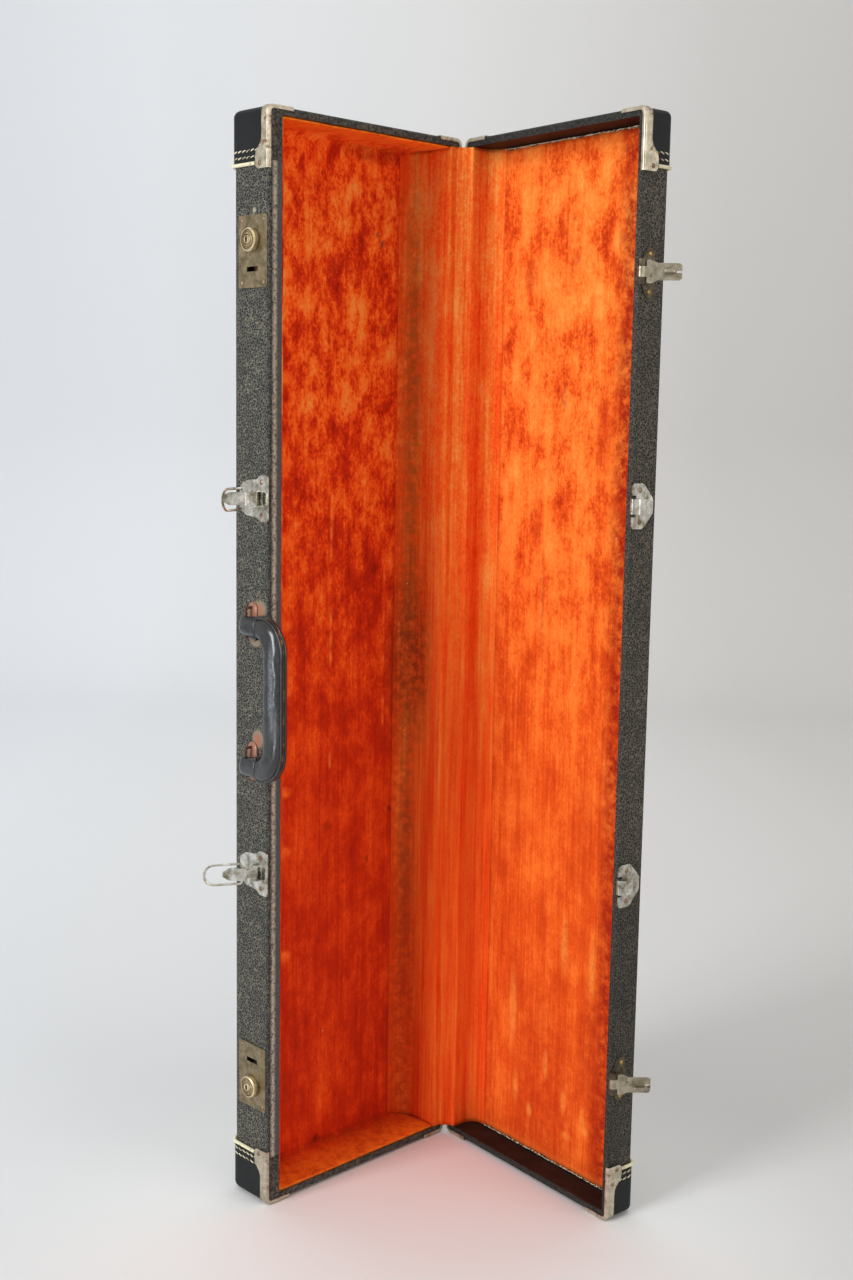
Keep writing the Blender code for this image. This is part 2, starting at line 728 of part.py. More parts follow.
def lock_case(where, sign, parent):
    """The shallow steel tray let into the front board, open towards the plate."""
    d, z = lock_window(sign, 0.0)
    wall = LOCK_CASE.wall
    tray = box(BASE, d, (FACE - LOCK_CASE.deep, FACE), z)
    inside = box(BASE, (d[0] + wall, d[1] - wall), (FACE - LOCK_CASE.deep + wall, FAR), (z[0] + wall, z[1] - wall))
    piece(cut(tray, inside), f"{where}_lock_case", "steel", parent)


def lock_works(where, sign, parent):
    """The barrel that the key turns, with its cam, and the bolt that the cam pushes through the staple."""
    middle = MIDDLE + sign * LOCK_MIDDLE
    knob = middle + sign * KNOB_SHIFT
    slot = middle - sign * SLOT_SHIFT
    axis = pivot(f"{where}_barrel_axis", parent, at(BASE, LOCK_DEPTH, FACE, knob))
    radius = BARREL / 2
    deep = LOCK_CASE.deep - LOCK_CASE.wall - GAP
    barrel = turned(BASE, 0, 0, [(2.2, -deep), (2.2, -1.6), (radius, -1.6), (radius, KNOB_OUT - 0.9), (radius - 0.7, KNOB_OUT)], 20)
    tail = KNOB_SHIFT + SLOT_SHIFT - BOLT.clear - BOLT.length
    reach = tail + BOLT.travel - GAP
    level = (-BOLT.deep - BOLT.thick / 2, -BOLT.deep + BOLT.thick / 2)
    cam = rounded([(-1.0, -1.5, 0), (reach, -1.5, 1.49), (reach, 1.5, 1.49), (-1.0, 1.5, 0)], 3)
    unite(barrel, prism(BASE, cam, (-deep + 0.4, level[0] - GAP), "w"))
    cut(barrel, box(BASE, (-0.55, 0.55), (KNOB_OUT - 3.5, KNOB_OUT + 1), (-2.3, 1.2)))
    cut(barrel, turned(BASE, 0, 1.1, [(1.2, KNOB_OUT - 3.5), (1.2, KNOB_OUT + 1)], 10))
    piece(barrel, f"{where}_lock_barrel", "tarnish", axis)

    half_width = BOLT.width / 2
    start = slot + sign * BOLT.clear
    span = sorted((start, start + sign * BOLT.length))
    bar = box(BASE, (LOCK_DEPTH - half_width, LOCK_DEPTH + half_width), (FACE + level[0], FACE + level[1]), span)
    piece(bar, f"{where}_lock_bolt", "steel", parent)


def hasp_plate(where, sign, parent):
    """The lid's plate with two knuckles and the pin on which a hasp turns."""
    p = HASP_PLATE
    z = MIDDLE + sign * (LOCK_MIDDLE - SLOT_SHIFT)
    inner = FACE + GAP
    outer = inner + p.thick
    reach = HASP_KNUCKLES / 2
    plate = prism(LID, rounded([
        (p.start, z - reach, 0.8),
        (p.nails - 3.5, z - p.half, 5.0),
        (p.nails + 3.5, z - p.half, 4.0),
        (p.deep, z - 6.0, 4.0),
        (p.deep, z + 6.0, 4.0),
        (p.nails + 3.5, z + p.half, 4.0),
        (p.nails - 3.5, z + p.half, 5.0),
        (p.start, z + reach, 0.8),
    ], 3), (inner, outer), "w")
    axis = FACE + HASP_OUT
    start = HASP_CENTRE / 2 + GAP
    for side in (1, -1):
        span = sorted((z + side * start, z + side * reach))
        knuckle = rod(LID, 0, axis, HASP_KNUCKLE / 2, span)
        unite(knuckle, prism(LID, [(1.0, inner), (p.start + 2.5, inner), (p.start + 2.5, outer), (2.2, axis)], span, "z"))
        unite(plate, knuckle)
    unite(plate, rod(LID, 0, axis, HASP_PIN / 2, (z - reach + 1, z + reach - 1), 12))
    piece(plate, f"{where}_hasp_plate", "clamp", parent)


def hasp_leaf(where, sign, parent):
    """The hasp's leaf and staple, drawn closed over the lock and then turned open."""
    z = MIDDLE + sign * (LOCK_MIDDLE - SLOT_SHIFT)
    axis = pivot(f"{where}_hasp_axis", parent, at(LID, 0, FACE + HASP_OUT, z), HASP_REST)
    low = LOCK_PLATE.thick + 2.0 * GAP + 0.2 - HASP_OUT
    top = low + 1.0
    clear = HASP_KNUCKLE / 2 + 2 * GAP
    leaf = prism(LID, rounded([
        (-clear, -8.5, 1.0),
        (-clear - 4.0, -8.5, 2.0),
        (-clear - 8.0, -6.3, 2.0),
        (-HASP_LEAF, -6.3, 2.5),
        (-HASP_LEAF, 6.3, 2.5),
        (-clear - 8.0, 6.3, 2.0),
        (-clear - 4.0, 8.5, 2.0),
        (-clear, 8.5, 1.0),
    ], 3), (low, top), "w")
    half_centre = HASP_CENTRE / 2
    knuckle = rod(LID, 0, 0, HASP_KNUCKLE / 2, (-half_centre, half_centre))
    unite(knuckle, prism(LID, [(0, low), (-clear - 1, low), (-clear - 1, top), (0, top + 0.6)], (-half_centre, half_centre), "z"))
    unite(leaf, knuckle)
    cut(leaf, rod(LID, 0, 0, HASP_PIN / 2 + GAP, (-HASP_CENTRE, HASP_CENTRE), 12))
    lip = [(-HASP_LEAF + 1.8, low + 0.2), (-HASP_LEAF + 0.9, low), (-HASP_LEAF - 0.4, top + 1.4), (-HASP_LEAF + 0.6, top + 1.6)]
    unite(leaf, prism(LID, lip, (-5.0, 5.0), "z"))
    cut(leaf, box(LID, (-FAR, -HASP_LEAF + 4.2), (low - 1, top + 3), (-0.8, 0.8)))
    foot = -LOCK_CASE.deep + LOCK_CASE.wall + GAP + 0.1 - HASP_OUT
    staple = prism(LID, rounded([
        (-LOCK_DEPTH + 4.8, low + 0.4, 0),
        (-LOCK_DEPTH + 4.8, foot, 2.0),
        (-LOCK_DEPTH - 3.6, foot, 2.0),
        (-LOCK_DEPTH - 4.9, foot + 3.2, 2.0),
        (-LOCK_DEPTH - 4.9, low + 0.4, 0),
    ], 3), (-STAPLE_THICK / 2, STAPLE_THICK / 2), "z")
    eye = -HASP_OUT - BOLT.deep
    high = BOLT.thick / 2 + GAP
    wide = BOLT.width / 2 + 2 * GAP
    cut(staple, box(LID, (-LOCK_DEPTH - wide, -LOCK_DEPTH + wide), (eye - high, eye + high), (-STAPLE_THICK, STAPLE_THICK)))
    unite(leaf, staple)
    piece(leaf, f"{where}_hasp", "clamp", axis)


# Handle

def handle(parent):
    """A padded leather grip that turns on two wire loops."""
    end = HANDLE_LENGTH / 2 - TAB_WIDTH / 2
    middle = HANDLE_REACH - GRIP_WIDTH / 2
    corners = [(-TAB_OVER, end, 0), (middle, end, GRIP_CORNER), (middle, -end, GRIP_CORNER), (-TAB_OVER, -end, 0)]
    path = [Vector(point) for point in rounded(corners, 8)]
    path[1:1] = [path[0].lerp(path[1], t) for t in (0.06, 0.2, 0.5)]
    path[-1:-1] = [path[-1].lerp(path[-2], t) for t in (0.5, 0.2, 0.06)]
    halfway = len(path) // 2
    path[halfway:halfway] = [path[halfway - 1].lerp(path[halfway], t) for t in (0.25, 0.5, 0.75)]
    rings = []
    sides = 14
    for i, point in enumerate(path):
        ahead = path[min(i + 1, len(path) - 1)] - path[max(i - 1, 0)]
        aside = Vector((ahead.y, -ahead.x)).normalized()
        share = min(max(point.x / middle, 0.0), 1.0) ** 2
        wide = (TAB_WIDTH + (GRIP_WIDTH - TAB_WIDTH) * share) / 2
        thick = (TAB_THICK + (GRIP_THICK - TAB_THICK) * share) / 2
        at_tip = min(i, len(path) - 1 - i)
        if at_tip == 0:
            wide, thick = wide - 1.2, thick - 1.6
        ring = []
        for k in range(sides):
            c, s = cos(2 * pi * k / sides), sin(2 * pi * k / sides)
            across = wide * abs(c) ** 0.75 * (1 if c > 0 else -1)
            proud = thick * abs(s) ** 0.75 * (1 if s > 0 else -1)
            place = point + aside * across
            ring.append(at(BASE, proud, place.x, place.y))
        rings.append(ring)
    grip = loft(rings)
    bore = LOOP_WIRE / 2 + LOOP_CLEAR
    for sign in (1, -1):
        span = sorted((sign * (end - TAB_WIDTH), sign * (end + TAB_WIDTH)))
        cut(grip, rod(BASE, 0, 0, bore, span, 12))
    axis = pivot("handle_axis", parent, at(BASE, HANDLE_DEPTH, FACE + HANDLE_OUT, HANDLE_HEIGHT), -HANDLE_REST)
    piece(grip, "handle_grip", "handle_leather", axis)


def handle_bracket(where, sign, parent):
    """A plate with a wire loop that goes through one end of the handle."""
    z = HANDLE_HEIGHT + sign * (HANDLE_LENGTH - TAB_WIDTH) / 2 + LOOP_SLACK / 2
    inner = FACE + GAP
    outer = inner + 1.0
    reach = (TAB_WIDTH + LOOP_SLACK + LOOP_WIRE) / 2 + 2 * GAP
    long = reach + 4.5
    plate = prism(BASE, rounded([
        (HANDLE_DEPTH - 6, z - long, 4),
        (HANDLE_DEPTH + 6, z - long, 4),
        (HANDLE_DEPTH + 6, z + long, 4),
        (HANDLE_DEPTH - 6, z + long, 4),
    ], 3), (inner, outer), "w")
    out = FACE + HANDLE_OUT
    corners = [(inner + 0.5, z - reach, 0), (out, z - reach, 2.2), (out, z + reach, 2.2), (inner + 0.5, z + reach, 0)]
    path = [at(BASE, HANDLE_DEPTH, w, height) for w, height in rounded(corners, 4)]
    unite(plate, tube(path, LOOP_WIRE / 2, Vector((1, 0, 0)), 10))
    piece(plate, f"{where}_handle_bracket", "steel", parent)


# Assembly

def build():
    for old in list(bpy.data.objects):
        bpy.data.objects.remove(old)
    case = pivot("case", None, Vector((0, 0, 0)))
    lid = pivot("lid_hinge_axis", case, Vector((0, 0, 0)), LID_OPEN)
    for half, parent in ((BASE, case), (LID, lid)):
        boards(half, parent)
        covering(half, parent)
        hinge_strip(half, parent)
        for upper in (True, False):
            end_cap(half, upper, parent)
            piping(half, upper, parent)
            for front in (True, False):
                rim_clamp(half, front, upper, parent)
        for where, sign in (("upper", 1), ("lower", -1)):
            hinge_leaf(half, where, MIDDLE + sign * HINGE_SPACING / 2, parent)
    base_lining(case)
    lid_lining(lid)
    for where, sign in (("upper", 1), ("lower", -1)):
        height = LATCH_MIDDLE + sign * LATCH_SPACING / 2
        latch_plate(where, height, case)
        latch_lever(where, height, case)
        catch_plate(where, height, lid)
        lock_plate(where, sign, case)
        lock_case(where, sign, case)
        lock_works(where, sign, case)
        hasp_plate(where, sign, lid)
        hasp_leaf(where, sign, lid)
        handle_bracket(where, sign, case)
    handle(case)
    centre(case)


def centre(case):
    """Stand the case with the middle of its footprint on the origin, and say where its joints are."""
    bpy.context.view_layer.update()
    points = []
    for made in bpy.data.objects:
        if made.type == "MESH":
            points += [made.matrix_world @ vertex.co for vertex in made.data.vertices]
    low = [min(point[i] for point in points) for i in range(3)]
    high = [max(point[i] for point in points) for i in range(3)]
    case.location = (-(low[0] + high[0]) / 2, -(low[1] + high[1]) / 2, -low[2])
    bpy.context.view_layer.update()
    print("size", [round(high[i] - low[i], 5) for i in range(3)])
    for made in bpy.data.objects:
        if made.type == "EMPTY":
            print(made.name, [round(x, 5) for x in made.matrix_world.translation])


build()
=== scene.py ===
# %% [markdown]
# # A velvet-lined case for a lap steel guitar
# The case stands open on its lower end. Its CAD model is loaded as a fixed frame, and this lesson
# gives every piece the finish of the real one, and models what is soft, sewn or very small.
# A place is given as in the CAD: d is the depth from the plane where the two halves meet,
# w is the distance from the hinge axis towards the front wall, and z is the height. All are in mm.

# %% Load the frame
import json
from math import atan2, ceil, cos, pi, radians, sin, sqrt, tan
from random import Random

import bmesh
import bpy
from mathutils import Matrix, Vector, noise


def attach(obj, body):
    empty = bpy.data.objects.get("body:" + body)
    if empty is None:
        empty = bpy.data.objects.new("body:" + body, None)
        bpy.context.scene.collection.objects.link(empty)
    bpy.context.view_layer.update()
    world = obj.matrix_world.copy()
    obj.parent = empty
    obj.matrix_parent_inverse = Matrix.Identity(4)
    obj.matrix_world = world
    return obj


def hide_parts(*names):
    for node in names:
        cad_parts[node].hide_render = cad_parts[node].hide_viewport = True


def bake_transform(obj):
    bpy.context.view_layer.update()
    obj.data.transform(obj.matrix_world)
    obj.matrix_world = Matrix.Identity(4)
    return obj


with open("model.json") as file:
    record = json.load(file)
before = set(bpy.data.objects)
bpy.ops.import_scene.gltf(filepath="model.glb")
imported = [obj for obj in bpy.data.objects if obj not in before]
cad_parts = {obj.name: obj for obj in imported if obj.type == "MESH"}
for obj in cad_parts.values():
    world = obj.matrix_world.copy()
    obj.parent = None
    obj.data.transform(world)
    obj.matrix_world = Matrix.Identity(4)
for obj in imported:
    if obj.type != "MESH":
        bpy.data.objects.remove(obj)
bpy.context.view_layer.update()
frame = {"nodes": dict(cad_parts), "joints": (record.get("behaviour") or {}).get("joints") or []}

nodes = frame["nodes"]
joints = {joint["name"]: joint for joint in frame["joints"]}

# %% [markdown]
# The two halves share one hinge axis. A point of the lid is turned by the opening angle of the
# photograph, so that both halves can be described in the same simple way.

# %% Places in the two halves
MM = 0.001
HINGE = Vector((joints["lid_hinge"]["pos_m"][0], joints["lid_hinge"]["pos_m"][1], 0.0))
OPENING = radians(84.5)
LENGTH = 870.0
MIDDLE = LENGTH / 2
FRONT = 202.8
BACK = 4.4
FACE = FRONT + 1.1
CAP_FACE = FRONT + 2.5
BASE_FLOOR = 45.8
LID_FLOOR = 29.4


def place(half, d, w, z):
    """A point of the base or the lid, in metres."""
    if half == "base":
        return HINGE + Vector((-d, -w, z)) * MM
    x, y = d * cos(OPENING) + w * sin(OPENING), d * sin(OPENING) - w * cos(OPENING)
    return HINGE + Vector((x, y, z)) * MM


print("the lid's front edge is at", [round(x, 3) for x in place("lid", 0, FACE, MIDDLE)])

# %% [markdown]
# ## Camera
# The camera was fitted to the case's corners in the photograph. It stands to the front right, a
# little above the middle of the case.

# %% Camera
eye = bpy.data.cameras.new("camera")
eye.lens = 43.945
eye.sensor_width = 36.0
camera = bpy.data.objects.new("camera", eye)
bpy.context.scene.collection.objects.link(camera)
camera.location = HINGE + Vector((0.94335, -0.95376, 0.64535))
right = Vector((0.69644, 0.71742, 0.01657))
up = Vector((-0.11492, 0.08871, 0.98941))
back = right.cross(up)
turn = Matrix((right, up, back)).transposed()
camera.matrix_world = Matrix.Translation(camera.location) @ turn.to_4x4()
bpy.context.scene.camera = camera
print("camera at", [round(x, 3) for x in camera.location])

# %% [markdown]
# ## Finishes
# Every colour is an sRGB hex value, read off as the eye sees it, and one function turns it into
# the linear values that the renderer adds up. One small function adds a node: its settings, its
# values, and the nodes or sockets that feed it. Another feeds the finished patterns to the shader.

# %% Colour and node helpers

def colour(code):
    """An sRGB hex colour as linear RGBA."""
    channels = [int(code[i:i + 2], 16) / 255 for i in (0, 2, 4)]
    return (*[c / 12.92 if c <= 0.04045 else ((c + 0.055) / 1.055) ** 2.4 for c in channels], 1.0)


def out(source):
    """A node's first output. A socket stays as it is."""
    return source.outputs[0] if isinstance(source, bpy.types.Node) else source


def add(tree, kind, inputs=None, stops=None, **settings):
    """A node with its settings. An input is a value, a hex colour, or a node or socket to link from;
    stops fill a colour ramp."""
    node = tree.nodes.new(kind)
    for name, value in settings.items():
        setattr(node, name, value)
    for name, value in (inputs or {}).items():
        if isinstance(value, (bpy.types.Node, bpy.types.NodeSocket)):
            tree.links.new(out(value), node.inputs[name])
        else:
            node.inputs[name].default_value = colour(value) if isinstance(value, str) else value
    if stops:
        ramp = node.color_ramp.elements
        while len(ramp) < len(stops):
            ramp.new(0.5)
        for element, (position, shade) in zip(ramp, stops):
            element.position = position
            element.color = colour(shade) if isinstance(shade, str) else (shade, shade, shade, 1)
    return node


def feed(tree, shader, **sources):
    """Links nodes or sockets to the shader's inputs of these names."""
    for label, source in sources.items():
        tree.links.new(out(source), shader.inputs[label.replace("_", " ")])


def material(name, roughness, metallic=0.0, **constants):
    """A new material, its node tree, its shader and its object coordinates in metres."""
    made = bpy.data.materials.new(name)
    made.use_nodes = True
    tree = made.node_tree
    shader = tree.nodes["Principled BSDF"]
    shader.inputs["Roughness"].default_value = roughness
    shader.inputs["Metallic"].default_value = metallic
    for label, value in constants.items():
        shader.inputs[label.replace("_", " ")].default_value = value
    where = add(tree, "ShaderNodeTexCoord").outputs["Object"]
    return made, tree, shader, where


def per(size_mm):
    """The texture scale that gives a pattern of this size, in mm, on coordinates in metres."""
    return 1000 / size_mm


def wear(piece, finish):
    """Gives a piece its finish."""
    piece.data.materials.clear()
    piece.data.materials.append(finish)


print("a mid orange in linear light:", [round(x, 3) for x in colour("e8550f")])

# %% [markdown]
# ## Leatherette, leather and piping
# The covering is pyroxylin-coated cloth, embossed with a fine irregular pebble grain. Decades of
# handling have rubbed the tops of the grain to a dusty grey, while the valleys stay black.
# The end caps are smooth leather, almost black, and the piping is cream vinyl with soft clouds of grime.

# %% Half coordinates inside a material

def half_place(tree, where, half):
    """A point's place (d, w, z) in a half, and its d, w and z alone, in mm."""
    across = (-1, 0, 0) if half == "base" else (cos(OPENING), sin(OPENING), 0)
    along = (0, -1, 0) if half == "base" else (sin(OPENING), -cos(OPENING), 0)
    from_hinge = add(tree, "ShaderNodeVectorMath", {0: where, 1: HINGE}, operation="SUBTRACT")
    in_mm = add(tree, "ShaderNodeVectorMath", {0: from_hinge, "Scale": 1000.0}, operation="SCALE")
    parts = [add(tree, "ShaderNodeVectorMath", {0: in_mm, 1: axis}, operation="DOT_PRODUCT").outputs["Value"]
             for axis in (across, along, (0, 0, 1))]
    return add(tree, "ShaderNodeCombineXYZ", {0: parts[0], 1: parts[1], 2: parts[2]}), *parts


def spot(tree, at, centre, size, strength=1.0, crisp=0.2):
    """A soft oval patch in mm: full strength up to the share crisp of its size, and nothing beyond it."""
    away = add(tree, "ShaderNodeVectorMath", {0: at, 1: centre}, operation="SUBTRACT")
    share = add(tree, "ShaderNodeVectorMath", {0: away, 1: size}, operation="DIVIDE")
    reach = add(tree, "ShaderNodeVectorMath", {0: share}, operation="LENGTH").outputs["Value"]
    return add(tree, "ShaderNodeMapRange", {"Value": reach, "From Min": crisp, "To Min": strength, "To Max": 0.0},
               interpolation_type="SMOOTHSTEP")


print("one millimetre is a texture scale of", per(1))

# %% Pebble-grained covering
PEBBLE = 2.3
DEEP = 4000.0  # a size that takes a patch past the whole piece
# Marks as (centre, size, colour, strength): stains of old splashes on the front wall, and painted shade that darkens
# the lid's low end.
STAINS_AND_SHADE = {
    "base": [((11.5, 204, 491), (10, 6, 9.5), "8f8570", 0.95), ((12.5, 204, 490.5), (7.5, 6, 7.5), "a8745e", 0.95),
             ((14, 204, 388), (9, 6, 9.5), "8f8570", 0.95), ((14.5, 204, 387), (7, 6, 7), "a06c56", 0.95),
             ((19, 204, 794), (2.5, 6, 2.5), "b4ac94", 0.8), ((17, 204, 465), (9, 6, 5), "8a7f6a", 0.95)],
    # painted shade: the lid's covering darkened towards its low end
    "lid": [((16, 204, 60), (60, 12, 300), "161615", 0.4)],
}


def pebble_covering(name, half):
    """Black grained leatherette, rubbed to beige lines on its grain, with a worn line along the rim."""
    made, tree, shader, where = material(name, 0.66, Specular_IOR_Level=0.25)
    at, depth = half_place(tree, where, half)[:2]
    drift = add(tree, "ShaderNodeTexNoise", {"Vector": where, "Scale": per(3.4), "Detail": 2.0})
    bent = add(tree, "ShaderNodeMixRGB", {"Fac": 0.0009, "Color1": where, "Color2": drift.outputs["Color"]},
               blend_type="LINEAR_LIGHT")
    grain = add(tree, "ShaderNodeTexVoronoi", {"Vector": bent, "Scale": per(PEBBLE)}, feature="DISTANCE_TO_EDGE")
    line = add(tree, "ShaderNodeValToRGB", {"Fac": grain}, [(0.04, 1.0), (0.17, 0.0)])
    patch = add(tree, "ShaderNodeTexNoise", {"Vector": where, "Scale": per(24), "Detail": 5.0, "Roughness": 0.6})
    rubbed = add(tree, "ShaderNodeValToRGB", {"Fac": patch}, [(0.34, 0.7), (0.6, 1.0)])
    speck = add(tree, "ShaderNodeTexNoise", {"Vector": where, "Scale": per(2.0), "Detail": 2.0, "Roughness": 0.6})
    broken = add(tree, "ShaderNodeValToRGB", {"Fac": speck}, [(0.36, 0.25), (0.56, 1.0)])
    on_wall = add(tree, "ShaderNodeMapRange", {"Value": depth, "From Min": 2.0, "From Max": 4.5, "To Min": 0.6})
    amount = line
    for share in (rubbed, broken, on_wall):
        amount = add(tree, "ShaderNodeMath", {0: amount, 1: share}, operation="MULTIPLY")
    dark, pale = ("1b1f23", "7e7868") if half == "base" else ("242524", "7a7163")
    inner = spot(tree, at, (1.0, 193.4, MIDDLE), (2.0, 5.0, DEEP), 0.55, crisp=0.1)
    edge = spot(tree, at, (1.0, 198.4, MIDDLE), (2.4, 3.6, DEEP), 1.0 if half == "base" else 0.0, crisp=0.0)
    worn = add(tree, "ShaderNodeMath", {0: edge, 1: broken}, operation="MULTIPLY")
    marks = [(amount, pale), (inner, "5e656b"), (worn, "c0baa8")]
    for centre, size, tone, strength in STAINS_AND_SHADE[half]:
        marks.append((spot(tree, at, centre, size, strength, crisp=0.5), tone))
    shade = dark
    for share, tone in marks:
        shade = add(tree, "ShaderNodeMixRGB", {"Fac": share, "Color1": shade, "Color2": tone})
    bump = add(tree, "ShaderNodeBump", {"Height": line, "Strength": 0.45, "Distance": 0.0003})
    feed(tree, shader, Base_Color=shade, Normal=bump)
    return made


for half in ("base", "lid"):
    wear(nodes[f"{half}_covering"], pebble_covering(f"{half} pebble leatherette", half))
print("covering grain", PEBBLE, "mm")

# %% Smooth cap leather and piping

def cap_leather(half):
    """Smooth black leather, drawn tight; where it turns over the rim it is rubbed as the covering is."""
    made, tree, shader, where = material(f"{half} cap leather", 0.5, Specular_IOR_Level=0.22)
    cloud = add(tree, "ShaderNodeTexNoise", {"Vector": where, "Scale": per(22), "Detail": 5.0, "Roughness": 0.62})
    black = add(tree, "ShaderNodeValToRGB", {"Fac": cloud}, [(0.3, "0e0f10"), (0.6, "16181a"), (0.78, "232426")])
    speck = add(tree, "ShaderNodeTexNoise", {"Vector": where, "Scale": per(2.0), "Detail": 3.0, "Roughness": 0.65})
    rubbed = add(tree, "ShaderNodeValToRGB", {"Fac": speck}, [(0.44, "2a2c2c"), (0.62, "6e6a5e")])
    depth = half_place(tree, where, half)[1]
    on_rim = add(tree, "ShaderNodeMapRange", {"Value": depth, "From Min": 2.6, "From Max": 1.4,
                                              "To Max": 0.8 if half == "base" else 0.25})
    shade = add(tree, "ShaderNodeMixRGB", {"Fac": on_rim, "Color1": black, "Color2": rubbed})
    pore = add(tree, "ShaderNodeTexNoise", {"Vector": where, "Scale": per(0.9), "Detail": 3.0})
    bump = add(tree, "ShaderNodeBump", {"Height": pore, "Strength": 0.12, "Distance": 0.0002})
    feed(tree, shader, Base_Color=shade, Normal=bump)
    return made


def grimed(name, roughness, cloud_mm, detail, harsh, stops):
    """A plain finish with soft clouds of grime."""
    made, tree, shader, where = material(name, roughness)
    cloud = add(tree, "ShaderNodeTexNoise", {"Vector": where, "Scale": per(cloud_mm), "Detail": detail,
                                             "Roughness": harsh})
    feed(tree, shader, Base_Color=add(tree, "ShaderNodeValToRGB", {"Fac": cloud}, stops))
    return made


cream = grimed("cream vinyl piping", 0.45, 4, 4.0, 0.7, [(0.32, "9a8050"), (0.42, "e6dcb4"), (0.8, "f4eed6")])
for half in ("base", "lid"):
    smooth_leather = cap_leather(half)
    for end in ("upper", "lower"):
        wear(nodes[f"{half}_{end}_end_cap"], smooth_leather)
        wear(nodes[f"{half}_{end}_piping"], cream)
print("4 caps and 4 pipings")

# %% [markdown]
# ## Metals
# All the metal is nickel-plated steel, but no two kinds have aged alike. The latches are still
# bright. The clamps and hasps are dull, with brown rust where the plate has worn through, and the
# lock plates have turned an even brownish grey. Each finish is a metal whose colour and roughness
# are broken up by the same two things: a soft cloud of tarnish and small pits of rust.

# %% Plated metal
FITTING_DEPTH = 20.0  # of the axes of the locks and the handle
LOCK_RISE = 337.1  # from the middle of the case to the axis of each lock


def plated(name, bright, dull, rust, roughness, rust_from, cloud_mm=7.0, rubbed=None, rings=False):
    """Nickel plate with clouds of tarnish, rust where its noise is above rust_from, and rubbed raised parts."""
    made, tree, shader, where = material(name, roughness, 1.0)
    cloud = add(tree, "ShaderNodeTexNoise", {"Vector": where, "Scale": per(cloud_mm), "Detail": 5.0,
                                             "Roughness": 0.65})
    plate = add(tree, "ShaderNodeValToRGB", {"Fac": cloud}, [(0.34, dull), (0.62, bright)])
    pits = add(tree, "ShaderNodeTexNoise", {"Vector": where, "Scale": per(2.6), "Detail": 6.0, "Roughness": 0.7})
    spread = add(tree, "ShaderNodeTexNoise", {"Vector": where, "Scale": per(11), "Detail": 3.0})
    both = add(tree, "ShaderNodeMath", {0: pits, 1: spread}, operation="ADD")
    rusty = add(tree, "ShaderNodeMapRange", {"Value": both, "From Min": rust_from, "From Max": rust_from + 0.14})
    shade = add(tree, "ShaderNodeMixRGB", {"Fac": rusty, "Color1": plate, "Color2": rust})
    if rubbed:
        depth, across, height = half_place(tree, where, "base")[1:]
        proud = add(tree, "ShaderNodeMapRange", {"Value": across, "From Min": FACE + 1.8, "From Max": FACE + 3.2})
        shade = add(tree, "ShaderNodeMixRGB", {"Fac": proud, "Color1": shade, "Color2": rubbed})
    if rings:
        # darkens the rings brown, and paints shade where the key slot is
        turned = lock_rings(tree, depth, across, height)
        ring_tone_and_slot_shade = add(tree, "ShaderNodeMath", {0: turned, 1: proud}, operation="MULTIPLY")
        shade = add(tree, "ShaderNodeMixRGB", {"Fac": ring_tone_and_slot_shade, "Color1": shade, "Color2": "5c3c24"})
    bare = add(tree, "ShaderNodeMath", {0: 1.0, 1: rusty}, operation="SUBTRACT")
    gloss = add(tree, "ShaderNodeMapRange", {"Value": both, "From Min": 0.8, "From Max": 1.3, "To Min": roughness,
                                             "To Max": min(roughness + 0.35, 0.9)})
    bump = add(tree, "ShaderNodeBump", {"Height": pits, "Strength": 0.06, "Distance": 0.0002})
    feed(tree, shader, Base_Color=shade, Metallic=bare, Roughness=gloss, Normal=bump)
    return made


def lock_rings(tree, depth, across, height):
    """The turned rings of the lock housings, drawn round the axis of each, and the key slot as painted shade."""
    from_middle = add(tree, "ShaderNodeMath", {0: height, 1: MIDDLE}, operation="SUBTRACT")
    up_from = add(tree, "ShaderNodeMath", {0: from_middle}, operation="ABSOLUTE")
    spoke = add(tree, "ShaderNodeCombineXYZ", {0: depth, 1: up_from})
    arm = add(tree, "ShaderNodeVectorMath", {0: spoke, 1: (FITTING_DEPTH, LOCK_RISE, 0.0)}, operation="SUBTRACT")
    reach = add(tree, "ShaderNodeVectorMath", {0: arm}, operation="LENGTH").outputs["Value"]
    share = add(tree, "ShaderNodeMath", {0: reach, 1: 0.1}, operation="MULTIPLY")
    ring = add(tree, "ShaderNodeValToRGB", {"Fac": share}, [
        (0.33, 0.0), (0.39, 1.0), (0.43, 0.1), (0.50, 0.0), (0.53, 1.0), (0.57, 1.0), (0.60, 0.0), (0.655, 0.0),
        (0.69, 1.0), (0.73, 1.0), (0.77, 0.0), (0.86, 0.0), (0.95, 0.5)])
    lock_at = add(tree, "ShaderNodeCombineXYZ", {0: depth, 1: across, 2: up_from})
    # painted shade: a dark mark where the inside of the key slot lies in shade
    slot = spot(tree, lock_at, (FITTING_DEPTH, FACE + 7.0, LOCK_RISE), (1.3, 40.0, 3.0), 1.0, crisp=0.8)
    return add(tree, "ShaderNodeMath", {0: ring, 1: slot}, operation="MAXIMUM")


